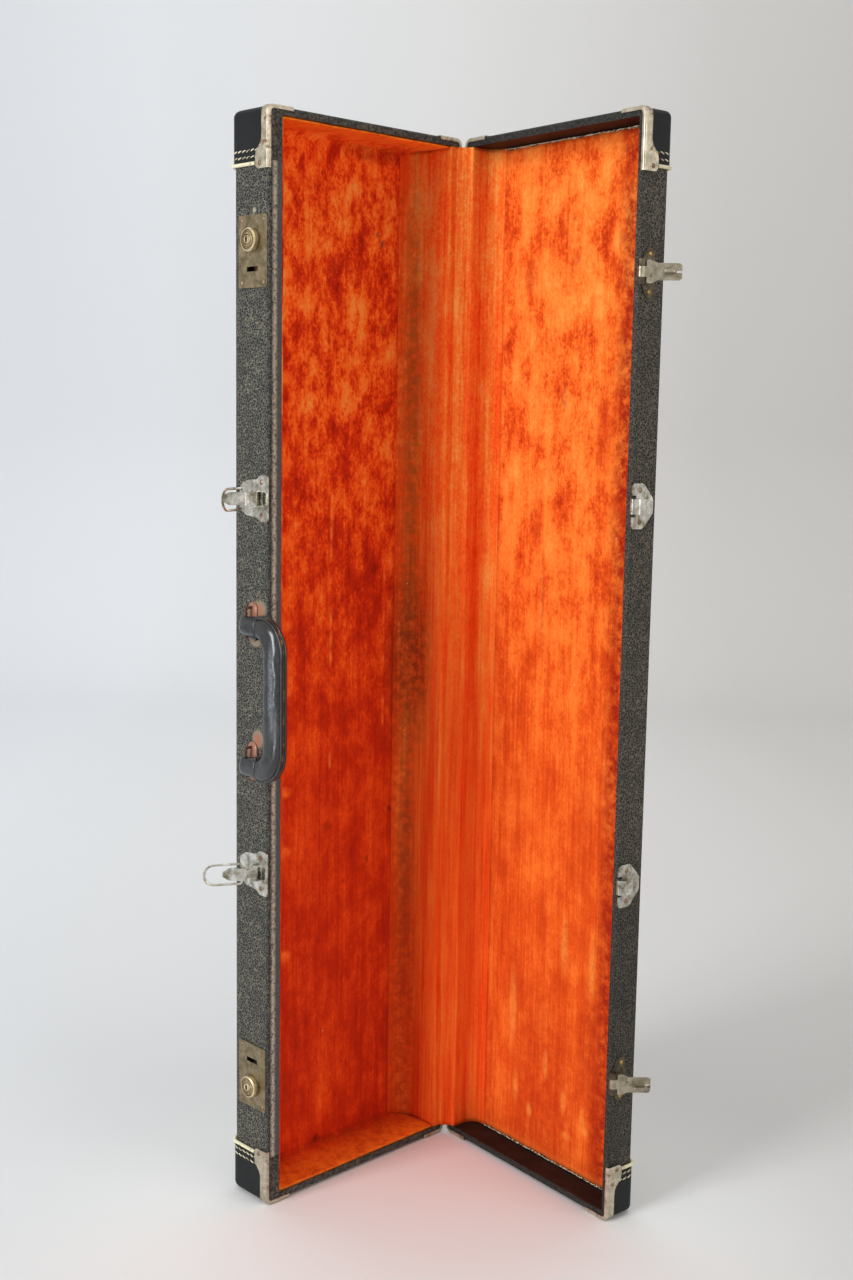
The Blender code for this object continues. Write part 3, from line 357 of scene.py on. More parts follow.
bright_nickel = plated("bright nickel plate", "dedcd5", "7c755c", "6a4a2c", 0.18, 1.26, cloud_mm=9.0)
clamp_nickel = plated("dull nickel plate", "d2c9b5", "a0977f", "7a5238", 0.3, 1.1)
hasp_nickel = plated("worn pale nickel plate", "b5ad9a", "857c68", "4a3422", 0.3, 1.1)
grimy_nickel = plated("grimy nickel plate", "6f6654", "3c362c", "3a2c20", 0.45, 1.02)
tarnished_nickel = plated("tarnished nickel plate", "9c8d70", "6e614a", "60402c", 0.3, 1.12, rubbed="dccba4",
                          rings=True)
rusty_steel = plated("rusty steel", "8a7a66", "5e5040", "8a5a40", 0.5, 0.96)
salmon_rust = plated("rusted bracket steel", "a88068", "7a5444", "9c6a54", 0.5, 0.86, cloud_mm=4.0, rubbed="5c4034")
nail_steel = plated("browned nail heads", "a08a74", "6e5240", "6a4430", 0.42, 1.0, cloud_mm=3.0)
brass = plated("tarnished brass", "c8a55a", "7a6030", "5a4020", 0.35, 1.2, cloud_mm=3.0)
finishes = {
    "rim_clamp": clamp_nickel,
    "latch_plate": bright_nickel,
    "latch_lever": bright_nickel,
    "latch_bail": bright_nickel,
    "catch_plate": bright_nickel,
    "lock_plate": tarnished_nickel,
    "lock_barrel": tarnished_nickel,
    "lock_case": rusty_steel,
    "lock_bolt": rusty_steel,
    "hasp": hasp_nickel,
    "hasp_plate": grimy_nickel,
    "hinge_leaf": rusty_steel,
    "handle_bracket": salmon_rust,
}
for name, piece in nodes.items():
    for ending, made in finishes.items():
        if name.endswith(ending):
            wear(piece, made)
print(len(finishes), "kinds of metal piece")

# %% [markdown]
# ## Wood
# The boards hardly show: only the bare inner faces of the lid's ends are seen, and they are stained
# a very dark brown.

# %% Wood

def stained_wood(name, dark, light):
    """Plywood stained with a thin brown wash, its grain running along x or y."""
    made, tree, shader, where = material(name, 0.6, Specular_IOR_Level=0.12)
    grain = add(tree, "ShaderNodeMapping", {"Vector": where, "Scale": (1.0, 1.0, 9.0)})
    lines = add(tree, "ShaderNodeTexNoise", {"Vector": grain, "Scale": per(14), "Detail": 6.0, "Roughness": 0.65})
    shade = add(tree, "ShaderNodeValToRGB", {"Fac": lines}, [(0.3, dark), (0.7, light)])
    bump = add(tree, "ShaderNodeBump", {"Height": lines, "Strength": 0.2, "Distance": 0.0003})
    feed(tree, shader, Base_Color=shade, Normal=bump)
    return made


dark_stain = stained_wood("dark stained plywood", "1a110e", "35261f")
plain_wood = stained_wood("plain plywood", "8a6a40", "b08c5a")
for name, piece in nodes.items():
    if name.endswith(("board", "floor_panel")):
        wear(piece, dark_stain if name.startswith("lid") else plain_wood)
print("boards done")

# %% [markdown]
# ## Velvet
# The lining is crushed velvet: a dense cut pile, pressed every way, so that each patch turns its
# fibres at another angle and catches the light differently. That is drawn as clouds of colour from
# deep red, where one looks into the pile, to bright orange, where one sees its sides. The pile
# lies mostly along the case, so that the clouds are drawn out into vertical streaks.

# %% Crushed velvet

def crushed_velvet(name, half, shades, lift, crush, upright, marks):
    """Velvet of one half. Lift brightens it, from the low end to the high end; crush and upright say how
    strong its patches and its upright lines are; marks are stains, worn places, painted shade and painted light."""
    made, tree, shader, where = material(name, 0.9, Sheen_Weight=0.2, Sheen_Roughness=0.45,
                                         Sheen_Tint=colour("ff8a4a"), Specular_IOR_Level=0.15)
    at, *_, height = half_place(tree, where, half)
    layers = [("patch", 24, 0.6, 8.0, 0.7, crush), ("tuft", 2.4, 0.8, 3.0, 0.75, 0.6),
              ("streak", 11, 0.045, 5.0, 0.6, upright), ("thread", 2.4, 0.03, 3.0, 0.6, 0.5 * upright + 0.1)]
    level = add(tree, "ShaderNodeMapRange", {"Value": height, "From Min": 200.0, "From Max": 720.0,
                                             "To Min": lift[0], "To Max": lift[1]})
    rough = add(tree, "ShaderNodeMapRange", {"Value": height, "From Min": 330.0, "From Max": 640.0, "To Min": 0.35})
    for label, size, squash, detail, harsh, weight in layers:
        drawn = add(tree, "ShaderNodeMapping", {"Vector": where, "Scale": (1.0, 1.0, squash)})
        cloud = add(tree, "ShaderNodeTexNoise", {"Vector": drawn, "Scale": per(size), "Detail": detail,
                                                 "Roughness": harsh})
        off = add(tree, "ShaderNodeMath", {0: cloud, 1: 0.5}, operation="SUBTRACT")
        if label in ("patch", "tuft"):
            off = add(tree, "ShaderNodeMath", {0: off, 1: rough}, operation="MULTIPLY")
        level = add(tree, "ShaderNodeMath", {0: off, 1: weight, 2: level}, operation="MULTIPLY_ADD")
    shade = add(tree, "ShaderNodeValToRGB", {"Fac": level}, shades)
    blot = add(tree, "ShaderNodeTexNoise", {"Vector": where, "Scale": per(7), "Detail": 5.0, "Roughness": 0.7})
    broken = add(tree, "ShaderNodeValToRGB", {"Fac": blot}, [(0.38, 0.35), (0.6, 1.0)])
    for centre, size, tone, strength in marks:
        mask = spot(tree, at, centre, size, strength)
        mask = add(tree, "ShaderNodeMath", {0: mask, 1: broken}, operation="MULTIPLY")
        shade = add(tree, "ShaderNodeMixRGB", {"Fac": mask, "Color1": shade, "Color2": tone})
    lint = add(tree, "ShaderNodeTexVoronoi", {"Vector": where, "Scale": per(34)})
    white = add(tree, "ShaderNodeMath", {0: lint, 1: 0.016}, operation="LESS_THAN")
    shade = add(tree, "ShaderNodeMixRGB", {"Fac": white, "Color1": shade, "Color2": "d8c0a8"})
    bump = add(tree, "ShaderNodeBump", {"Height": level, "Strength": 0.35, "Distance": 0.001})
    feed(tree, shader, Base_Color=shade, Normal=bump)
    return made


# The first two marks are a brown band along the corner of the floor and the hinge strip, partly dirt and partly
# painted shade; the third is painted shade in that corner.
base_marks = [
    ((35, 21, 640), (12, 10, 330), "a8561e", 0.85), ((35, 21, 250), (12, 9, 200), "8a4a22", 0.75),
    ((31, 24, 432), (26, 30, 118), "7e3416", 0.8), ((41, 22, 330), (10, 10, 3), "5a2c14", 0.5),
    ((41, 36, 298), (8, 4, 5), "3c1408", 0.8), ((41, 108, 295), (8, 7, 6), "6e2208", 0.6),
    ((41, 62, 257), (8, 2, 5), "3c1408", 0.7), ((36, 20, 215), (8, 3, 26), "4a3020", 0.6),
    ((41, 52, 783), (8, 4, 5), "5a4a34", 0.8), ((41, 58, 790), (8, 3, 3), "5a4a34", 0.7),
    ((41, 104, 760), (8, 4, 9), "8a2408", 0.7), ((41, 50, 713), (8, 4, 7), "7a3a1c", 0.6),
    # painted shadow lines: the two dark red bands along the creases where the floor meets the end walls
    ((41, 60, 855), (9, 60, 12), "7a2208", 0.55), ((41, 90, 12), (9, 90, 6), "6a1c08", 0.4),
    ((41, 118, 16), (8, 6, 6), "240c06", 0.8), ((41, 160, 12), (8, 8, 6), "240c06", 0.8),
    ((41, 22, 24), (10, 14, 12), "7a4a2a", 0.6)]
base_marks += [((41, 105.6, z), (8, 2.2, 10), "ff8c3c", 0.9) for z in (560, 545, 528, 472, 455, 440, 352)]
base_marks += [((41, 45.3, z), (8, 1.9, 9), "ff8034", 0.8) for z in (505, 470, 455, 432, 395, 380)]
base_marks += [((41, 155, z), (12, 11, 7), "ff7428", 1.0) for z in (602, 539, 470, 416, 331, 280, 670, 190)]
# painted light: both end walls of the tray are brightened to orange, where they catch more light than the floor
base_marks += [((8, 110, z), (40, DEEP, 16), "ff8a24", 1.0) for z in (5, 865)]
lid_marks = [
    ((25, 60, 755), (8, 11, 24), "b8320a", 0.7), ((25, 112, 767), (8, 9, 12), "c23c0c", 0.6),
    ((25, 110, 868), (8, DEEP, 34), "bc3408", 0.5), ((25, 177, 435), (9, 26, DEEP), "a02206", 1.0),
    ((25, 103, 658), (8, 5, 15), "8a5436", 0.55), ((25, 75, 560), (8, 9, 40), "cc4410", 0.5),
    ((25, 150, 640), (8, 14, 60), "d04a12", 0.5), ((25, 140, 300), (8, 20, 70), "c83c0c", 0.5),
    ((25, 60, 160), (8, 16, 50), "c43a0c", 0.5), ((25, 165, 70), (8, 14, 60), "b02806", 0.7),
    ((25, 96, 70), (8, 62, 130), "c03008", 0.6), ((25, 152, 130), (8, 14, 80), "a82006", 0.5),
    ((25, 64, 400), (8, 3, 90), "d8480e", 0.6), ((25, 84, 480), (8, 2.5, 60), "8a6038", 0.35),
    ((25, 110, 8), (9, DEEP, 10), "ff8434", 0.5)]
lid_marks += [((25, across, z), (8, 1.7 * wide, 0.75 * high), "ffa044", 0.6) for across, z, wide, high in (
    (60, 128, 4, 70), (66, 60, 3, 26), (84, 44, 3, 14), (103, 92, 2.5, 24), (122, 205, 4, 52), (126, 66, 3, 20),
    (131, 38, 5, 7), (149, 60, 2.5, 20), (152, 50, 4, 7), (155, 190, 4, 48))]
# The strip takes the tray's first three marks, with their dirt and painted shade.
strip_marks = [((42, 34, MIDDLE), (18, 17, DEEP), "d8480e", 0.9), *base_marks[:3],
               ((36, 20, 110), (18, 20, 240), "c43a0e", 0.85)]
base_velvet = crushed_velvet(
    "crushed velvet of the tray", "base",
    [(0.2, "9c1c04"), (0.4, "cc3008"), (0.52, "ea4c10"), (0.62, "fb6e1e"), (0.84, "ffa044")],
    (0.41, 0.53), 1.9, 0.22, base_marks)
strip_velvet = crushed_velvet(
    "velvet of the hinge strip", "base",
    [(0.2, "c22e06"), (0.38, "ee4a10"), (0.5, "fc5e1c"), (0.64, "ff7e2c"), (0.8, "ffa450")],
    (0.5, 0.6), 0.7, 0.75, strip_marks)
lid_velvet = crushed_velvet(
    "crushed velvet of the lid", "lid",
    [(0.2, "bc3006"), (0.37, "e65614"), (0.48, "fb7828"), (0.62, "ff8c36"), (0.8, "ffa450")],
    (0.37, 0.49), 1.45, 0.3, lid_marks)
print("velvet mixed, with", len(base_marks) + len(lid_marks), "marks")

# %% [markdown]
# ## The lining's shapes
# The base has a tray of velvet over cardboard: its floor rises in a cove to the front wall and to
# both ends. Each stretch of lining is made as a grid of points, moved in and out by soft noise as
# glued cloth is, and then given its thickness.

# %% Cloth from a grid of points
VELVET = 1.6
TAUT = 0.7  # the share of its lift and ripples that glued cloth keeps


def mesh_piece(name, points, faces):
    """A smooth mesh object from points in metres and faces by index."""
    mesh = bpy.data.meshes.new(name)
    mesh.from_pydata([tuple(point) for point in points], [], faces)
    mesh.update()
    mesh.shade_smooth()
    made = bpy.data.objects.new(name, mesh)
    bpy.context.scene.collection.objects.link(made)
    return made


def grid_faces(rows, columns):
    """Quads over a grid of points that are listed row by row."""
    return [(r * columns + c, r * columns + c + 1, (r + 1) * columns + c + 1, (r + 1) * columns + c)
            for r in range(rows - 1) for c in range(columns - 1)]


def thicken(made, thickness):
    """Gives a sheet its thickness behind the side that is seen."""
    change = made.modifiers.new("thickness", "SOLIDIFY")
    change.thickness = thickness * MM
    change.offset = -1.0
    bpy.context.view_layer.update()
    mesh = bpy.data.meshes.new_from_object(made.evaluated_get(bpy.context.evaluated_depsgraph_get()))
    made.modifiers.clear()
    made.data = mesh
    made.data.shade_smooth()
    return made


def ripple(point, size_mm, height_mm):
    """A soft unevenness of cloth at a point, in mm."""
    return noise.noise(point * per(size_mm)) * height_mm


def lay_cloth(made, seen, facing, lift, waves, thickness):
    """Turns a sheet to face a way near the point seen, ripples it as glued cloth is, and thickens it.
    Each wave is a size and a height in mm."""
    bm = bmesh.new()
    bm.from_mesh(made.data)
    bmesh.ops.recalc_face_normals(bm, faces=bm.faces)
    middle = min(bm.faces, key=lambda f: (f.calc_center_median() - seen).length)
    if middle.normal.dot(facing) < 0:
        bmesh.ops.reverse_faces(bm, faces=bm.faces)
    for vert in bm.verts:
        uneven = sum(ripple(vert.co, *wave) for wave in waves)
        vert.co += vert.normal * (lift + uneven) * MM * TAUT
    bm.to_mesh(made.data)
    bm.free()
    return thicken(made, thickness)


def arc(start, stop, radius, count):
    """Points on part of a circle round the origin, its angles in degrees."""
    angles = [radians(start + (stop - start) * k / (count - 1)) for k in range(count)]
    return [(radius * cos(a), radius * sin(a)) for a in angles]


print("grid of 3 x 3 points has", len(grid_faces(3, 3)), "faces")

# %% [markdown]
# The base's tray is a U of walls round a floor. Rings of points run down the walls and round the
# cove, from one end of the open side to the other, and the last ring frames the grid of the floor.

# %% Base tray
TRAY_FRONT = 191.3
TRAY_LOW = 7.3
TRAY_HIGH = LENGTH - TRAY_LOW
TRAY_FLOOR = 41.5
TRAY_COVE = 13.0
END_COVE = 5.0
STRIP_WALL = 14.3
STRIP_COVE = 18.0


def tray_toe(d):
    """Where the tray's end walls stop at the back: at the hinge strip's wall, and on its cove lower down."""
    into_cove = d - TRAY_FLOOR + STRIP_COVE
    if into_cove < 0:
        return STRIP_WALL + 0.6
    return STRIP_WALL + STRIP_COVE + 1.1 - sqrt(STRIP_COVE ** 2 - into_cove ** 2)


def tray_line(toe, inset, across, along):
    """The U of points at one level: in along the lower end, up the front and back along the upper end."""
    from_end = VELVET + inset * END_COVE / TRAY_COVE
    low, high, front = TRAY_LOW + from_end, TRAY_HIGH - from_end, TRAY_FRONT - VELVET - inset
    line = [(toe + (front - toe) * i / (across - 1), low) for i in range(across)]
    line += [(front, low + (high - low) * j / (along - 1)) for j in range(1, along)]
    line += [(front - (front - toe) * i / (across - 1), high) for i in range(1, across)]
    return line


def base_tray():
    """The velvet tray of the base, as one sheet."""
    across, along = 46, 210
    levels = [(d, 0.0) for d in (2.0, 4.5, 9, 14, 19, 24, 28.5)]
    levels += [(TRAY_FLOOR - TRAY_COVE * (1 - sin(a)), TRAY_COVE * (1 - cos(a)))
               for a in [radians(11.25 * k) for k in range(1, 9)]]
    lines = [(d, tray_line(tray_toe(d), inset, across, along)) for d, inset in levels]
    points = [Vector((d, w, z)) for d, line in lines for w, z in line]
    ring = len(lines[0][1])
    faces = grid_faces(len(levels), ring)
    last = (len(levels) - 1) * ring
    around = lines[-1][1]
    toe, front = around[0][0], around[across - 1][0]
    low, high = around[0][1], around[-1][1]
    index = {}
    for i in range(across):
        for j in range(along):
            if j == 0:
                index[i, j] = last + i
            elif i == across - 1:
                index[i, j] = last + across - 1 + j
            elif j == along - 1:
                index[i, j] = last + across - 1 + along - 1 + (across - 1 - i)
            else:
                index[i, j] = len(points)
                points.append(Vector((TRAY_FLOOR, toe + (front - toe) * i / (across - 1),
                                      low + (high - low) * j / (along - 1))))
    faces += [(index[i, j], index[i, j + 1], index[i + 1, j + 1], index[i + 1, j])
              for i in range(across - 1) for j in range(along - 1)]
    made = mesh_piece("base_velvet_tray", [place("base", *point) for point in points], faces)
    seen = place("base", TRAY_FLOOR, 110, MIDDLE)
    return lay_cloth(made, seen, Vector((1, 0, 0)), 0.25, [(30, 0.35), (9, 0.2)], 1.3)


tray = base_tray()
wear(tray, base_velvet)
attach(tray, "base")
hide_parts("base_lining")
print("tray", len(tray.data.polygons), "faces")

# %% [markdown]
# One strip of velvet runs over the hinge: from the base's floor up its back wall, over both rims
# and down into the lid. It follows the base on one side and the lid on the other, and bends
# smoothly in between.

# %% Hinge strip
LID_WALL = 10.9
LID_COVE = 11.0
LID_CLOTH = 25.3


def hinge_strip():
    """The velvet that hides the hinges, as one bent sheet."""
    lip = 1.6
    profile = [("base", TRAY_FLOOR, 33.2), ("base", TRAY_FLOOR, 32.6)]
    profile += [("base", TRAY_FLOOR - STRIP_COVE + y, STRIP_WALL + STRIP_COVE - x)
                for x, y in arc(90, 0, STRIP_COVE, 10)]
    profile += [("base", d, STRIP_WALL) for d in (19, 14, 9, 5)]
    profile += [("base", 0.8 + lip - y, STRIP_WALL - lip + x) for x, y in arc(10, 90, lip, 5)]
    profile += [("base", 0.8, w) for w in (11, 9.5, 8.2)]
    crossing = [place("base", 0.9, 7.0, 0) - HINGE, place("lid", 0.9, 7.0, 0) - HINGE]
    profile += [("bridge", t, 0) for t in (0.0, 0.12, 0.26, 0.42, 0.58, 0.74, 0.88, 1.0)]
    profile += [("lid", 0.8, w) for w in (8.2, 9.0)]
    profile += [("lid", 0.8 + lip - y, LID_WALL - lip + x) for x, y in arc(90, 10, lip, 5)]
    profile += [("lid", d, LID_WALL) for d in (5, 8, 11)]
    profile += [("lid", LID_CLOTH - LID_COVE + y, LID_WALL + LID_COVE - x) for x, y in arc(0, 90, LID_COVE, 8)]
    profile += [("lid", LID_CLOTH, 23.5), ("lid", LID_CLOTH, 24.9)]
    rows = 200
    low, high = 7.6, LENGTH - 7.6
    points = []
    for r in range(rows):
        z = low + (high - low) * r / (rows - 1)
        for kind, d, w in profile:
            if kind == "bridge":
                here = HINGE + crossing[0].lerp(crossing[1], d) * (1 + 0.10 * sin(pi * d))
                here.z = z * MM
            else:
                here = place(kind, d, w, z)
            points.append(here)
    made = mesh_piece("hinge_velvet_strip", points, grid_faces(rows, len(profile)))
    seen = place("base", 20, STRIP_WALL, MIDDLE)
    return lay_cloth(made, seen, Vector((0, -1, 0)), 0.2, [(24, 0.3), (8, 0.2)], 1.2)


strip = hinge_strip()
wear(strip, strip_velvet)
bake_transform(strip)
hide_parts("base_hinge_strip", "lid_hinge_strip")
print("strip", len(strip.data.polygons), "faces")

# %% Lid panel

def lid_panel():
    """The flat velvet panel on the lid's floor, with uneven cut ends."""
    columns, rows = 70, 230
    reach = MIDDLE - 9.4
    points = []
    for r in range(rows):
        for c in range(columns):
            w = 25.4 + (198.9 - 25.4) * c / (columns - 1)
            share = 2 * r / (rows - 1) - 1
            ragged = noise.noise(Vector((w / 9, share * 3, 4.0))) * 1.2 * abs(share) ** 12
            points.append(place("lid", LID_CLOTH, w, MIDDLE + share * (reach + ragged)))
    made = mesh_piece("lid_velvet_panel", points, grid_faces(rows, columns))
    seen = place("lid", LID_CLOTH, 110, MIDDLE)
    return lay_cloth(made, seen, Vector((0, -1, 0)), 0.2, [(36, 0.3), (9, 0.2)], 1.2)


panel = lid_panel()
wear(panel, lid_velvet)
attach(panel, "lid")
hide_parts("lid_lining")
print("panel", len(panel.data.polygons), "faces")

# %% [markdown]
# ## Handle
# The grip is a strip of padding folded into glossy black leather, whose edges meet and are sewn
# along the outer side. It is swept along its bent centre line. The section is fuller in the grip
# than at the tabs, has a ridge where the layers of the seam stand out, and is creased by use.

# %% Handle grip
HANDLE_AXIS = Vector(joints["handle_swing"]["pos_m"])
HANDLE_TURN = radians(88)
TAB_END = 55.7
GRIP_LINE = 39.1
TAB_WIDE = 14.4
GRIP_WIDE = 22.6


def bend(corners, steps):
    """Points along a line with rounded corners, from (x, y, radius)."""
    line = []
    for i, (x, y, radius) in enumerate(corners):
        if radius == 0:
            line.append(Vector((x, y)))
            continue
        here = Vector((x, y))
        one = (Vector(corners[i - 1][:2]) - here).normalized()
        two = (Vector(corners[(i + 1) % len(corners)][:2]) - here).normalized()
        half_angle = one.angle(two) / 2
        centre = here + (one + two).normalized() * radius / sin(half_angle)
        start = here + one * radius / tan(half_angle) - centre
        stop = here + two * radius / tan(half_angle) - centre
        first = atan2(start.y, start.x)
        turn = (atan2(stop.y, stop.x) - first + pi) % (2 * pi) - pi
        line += [centre + Vector((cos(first + turn * k / steps), sin(first + turn * k / steps))) * radius
                 for k in range(steps + 1)]
    return line


def spread(line, gap):
    """Evenly spaced points along a line."""
    lengths = [(b - a).length for a, b in zip(line, line[1:])]
    count = ceil(sum(lengths) / gap)
    even, i, walked = [], 0, 0.0
    for k in range(count + 1):
        target = sum(lengths) * k / count
        while i < len(lengths) - 1 and walked + lengths[i] < target:
            walked += lengths[i]
            i += 1
        even.append(line[i].lerp(line[i + 1], min((target - walked) / lengths[i], 1.0)))
    return even


def handle_place(away, aside, height):
    """A point of the handle: away from its pivot, aside towards the floor of the base, and up."""
    x, y = -aside, -away
    c, s = cos(HANDLE_TURN), sin(HANDLE_TURN)
    return HANDLE_AXIS + Vector((x * c - y * s, x * s + y * c, height)) * MM


def grip_line(start):
    """The grip's bent centre line in even steps, from start mm beyond its pivots."""
    corners = [(start, TAB_END, 0), (GRIP_LINE, TAB_END, 19.0), (GRIP_LINE, -TAB_END, 19.0), (start, -TAB_END, 0)]
    return spread(bend(corners, 16), 1.5)


def side_of(line, i):
    """The way square to a line at one of its points."""
    ahead = line[min(i + 1, len(line) - 1)] - line[max(i - 1, 0)]
    return Vector((ahead.y, -ahead.x)).normalized()


def grip_side(line, i):
    """The way out of the grip's line at a point, and how full the grip is there, from 0 to 1."""
    outward = side_of(line, i)
    if outward.x < -0.01:
        outward = -outward
    return outward, min(max((line[i].x + 2) / GRIP_LINE, 0.0), 1.0) ** 1.3


def tube_faces(rings, sides, start=0):
    """Quads round rings of points that are listed one after the other, and both end faces."""
    quads = [(start + r * sides + k, start + r * sides + (k + 1) % sides,
              start + (r + 1) * sides + (k + 1) % sides, start + (r + 1) * sides + k)
             for r in range(rings - 1) for k in range(sides)]
    last = start + (rings - 1) * sides
    return quads + [tuple(reversed(range(start, start + sides))), tuple(range(last, last + sides))]


def closed_piece(name, points, faces):
    """A mesh object with all its faces turned outwards."""
    made = mesh_piece(name, points, faces)
    bm = bmesh.new()
    bm.from_mesh(made.data)
    bmesh.ops.recalc_face_normals(bm, faces=bm.faces)
    bm.to_mesh(made.data)
    bm.free()
    return made


def handle_grip():
    """The padded handle, swept along its line, with its seam on the outer side."""
    line = grip_line(-4.0)
    sides = 40
    points = []
    for i, centre in enumerate(line):
        outward, full = grip_side(line, i)
        wide = (TAB_WIDE + (GRIP_WIDE - TAB_WIDE) * full) / 2
        thick = (9.4 + (14.6 - 9.4) * full) / 2
        from_tip = min(i, len(line) - 1 - i)
        if from_tip < 3:
            trim = (0.62, 0.86, 0.97)[from_tip]
            wide, thick = wide * (0.8 + 0.2 * trim), thick * trim
        for k in range(sides):
            angle = 2 * pi * k / sides
            c, s = cos(angle), sin(angle)
            across = wide * abs(c) ** 0.8 * (1 if c > 0 else -1)
            proud = thick * abs(s) ** 0.85 * (1 if s > 0 else -1)
            if c > 0.55:
                proud *= 1 - 0.12 * min((c - 0.55) / 0.25, 1.0)
            here = centre + outward * across
            point = handle_place(here.x, proud, here.y)
            crease = noise.noise(Vector((angle * 1.4, i * 0.09, 2.0))) * 0.7
            crease += noise.noise(Vector((angle * 3.1, i * 0.3, 7.0))) * 0.3
            middle = handle_place(centre.x, 0, centre.y)
            points.append(point + (point - middle).normalized() * (crease - 0.25) * MM)
    return closed_piece("handle_padded_grip", points, tube_faces(len(line), sides))


def black_leather():
    """Glossy black leather, waxed by hands, with a painted grey highlight along its crown."""
    made, tree, shader, where = material("glossy handle leather", 0.25, Specular_IOR_Level=0.9)
    cloud = add(tree, "ShaderNodeTexNoise", {"Vector": where, "Scale": per(6), "Detail": 6.0, "Roughness": 0.65})
    black = add(tree, "ShaderNodeValToRGB", {"Fac": cloud}, [(0.35, "060708"), (0.58, "0c0d0f"), (0.78, "202328")])
    speck = add(tree, "ShaderNodeTexNoise", {"Vector": where, "Scale": per(1.4), "Detail": 3.0, "Roughness": 0.7})
    broken = add(tree, "ShaderNodeValToRGB", {"Fac": speck}, [(0.36, 0.15), (0.6, 1.0)])
    at = half_place(tree, where, "base")[0]
    # painted highlight: a broken grey streak along the crown, where the key light is reflected
    worn = spot(tree, at, (-22.0, 221.0, 437.0), (4.5, 8.0, 52.0), 0.6, crisp=0.1)
    worn = add(tree, "ShaderNodeMath", {0: worn, 1: broken}, operation="MULTIPLY")
    shade = add(tree, "ShaderNodeMixRGB", {"Fac": worn, "Color1": black, "Color2": "959ca4"})
    gloss = add(tree, "ShaderNodeMapRange", {"Value": cloud, "To Min": 0.14, "To Max": 0.3})
    grain = add(tree, "ShaderNodeTexVoronoi", {"Vector": where, "Scale": per(1.1)}, feature="DISTANCE_TO_EDGE")
    bump = add(tree, "ShaderNodeBump", {"Height": grain, "Strength": 0.1, "Distance": 0.0002})
    feed(tree, shader, Base_Color=shade, Roughness=gloss, Normal=bump)
    return made


grip = handle_grip()
wear(grip, black_leather())
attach(grip, "handle")
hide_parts("handle_grip")
print("grip", len(grip.data.polygons), "faces")

# %% [markdown]
# The layers of the grip show along its outer edge: black skin, raw tan leather and skin again. Each
# is a narrow strip swept along the same line, a little proud of the one beside it.

# %% Handle seam

def handle_edge(name, wide, proud, shift, finish):
    """A strip along the grip's outer edge, shift mm off its middle."""
    line = grip_line(0.0)[6:-6]
    section = [(-1, -2.5), (-1, 0.2), (-0.75, 0.8), (0, 1.0), (0.75, 0.8), (1, 0.2), (1, -2.5)]
    points = []
    for i, centre in enumerate(line):
        outward, full = grip_side(line, i)
        fade = min(i, len(line) - 1 - i, 6) / 6
        edge = (TAB_WIDE + (GRIP_WIDE - TAB_WIDE) * full) / 2 - 0.9 + 0.9 * fade
        wobble = 0.18 * noise.noise(Vector((i * 0.22, shift, 5.0)))
        for across, rise in section:
            here = centre + outward * (edge + proud * rise + wobble)
            points.append(handle_place(here.x, shift + across * wide / 2, here.y))
    made = closed_piece(name, points, tube_faces(len(line), len(section)))
    wear(made, finish)
    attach(made, "handle")


raw_edge = grimed("raw leather edge", 0.6, 6, 4.0, 0.6, [(0.36, "1c140e"), (0.54, "4a3626"), (0.7, "b07a3c")])
handle_edge("handle_outer_skin", 1.7, 0.9, 2.5, black_leather())
handle_edge("handle_raw_edge", 1.9, 0.55, 0.6, raw_edge)
handle_edge("handle_inner_skin", 2.2, 0.9, -1.5, black_leather())
print("three layers on the handle's edge")

# %% [markdown]
# The handle hangs on two steel wires. Each is riveted to a stamped and domed plate, which has
# rusted to a warm brown. The plate is a grid of points over a long oval, raised in the middle,
# with a closed back, and the wire is a bent tube that runs into it at both ends.

# %% Handle brackets

def bracket(where, z):
    """A domed oval plate and its wire loop."""
    points = []
    sides, reach, half_wide, face = 36, 15.7, 6.0, FACE + 0.35
    rings = [(0.02, 2.0), (0.3, 1.95), (0.55, 1.75), (0.75, 1.4), (0.9, 0.9), (1.0, 0.25), (1.0, 0.0), (0.05, 0.0)]
    for share, high in rings:
        for k in range(sides):
            c, s = cos(2 * pi * k / sides), sin(2 * pi * k / sides)
            long = (reach - half_wide) * (1 if s > 0 else -1) * min(abs(s) * 3, 1) + half_wide * s
            dent = 0.3 * noise.noise(Vector((c * share * 2, long * share / 6, z)))
            points.append(place("base", FITTING_DEPTH + half_wide * c * share,
                                face + max(high + dent * (high > 0.5), 0.0), z + long * share))
    faces = tube_faces(len(rings), sides)
    foot, crest, spread_z, wire_sides, wire_radius = FACE + 1.0, FACE + 8.0, 11.4, 12, 1.2
    wire = bend([(foot, z - spread_z, 0), (crest, z - spread_z, 2.2), (crest, z + spread_z, 2.2),
                 (foot, z + spread_z, 0)], 8)
    faces += tube_faces(len(wire), wire_sides, len(points))
    for i, here in enumerate(wire):
        side = side_of(wire, i)
        for k in range(wire_sides):
            angle = 2 * pi * k / wire_sides
            c, s = cos(angle) * wire_radius, sin(angle) * wire_radius
            points.append(place("base", FITTING_DEPTH + s, here.x + side.x * c, here.y + side.y * c))
    made = closed_piece(f"{where}_domed_bracket", points, faces)
    wear(made, salmon_rust)
    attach(made, "base")
    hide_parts(f"{where}_handle_bracket")
    return made


for where, z in (("upper", 480.7), ("lower", 369.3)):
    print(where, "bracket", len(bracket(where, z).data.polygons), "faces")

# %% [markdown]
# ## Stitches
# Two rows of thick cream thread run round every cap. Each stitch shows as a short slanted bead
# that dives into the leather at both ends, so each is a small tapered tube set along the cap's
# outline, and all the stitches of a half are one mesh.

# %% Stitches
STITCH_GAP = 5.2
STITCH_LONG = 4.2
STITCH_THICK = 0.5


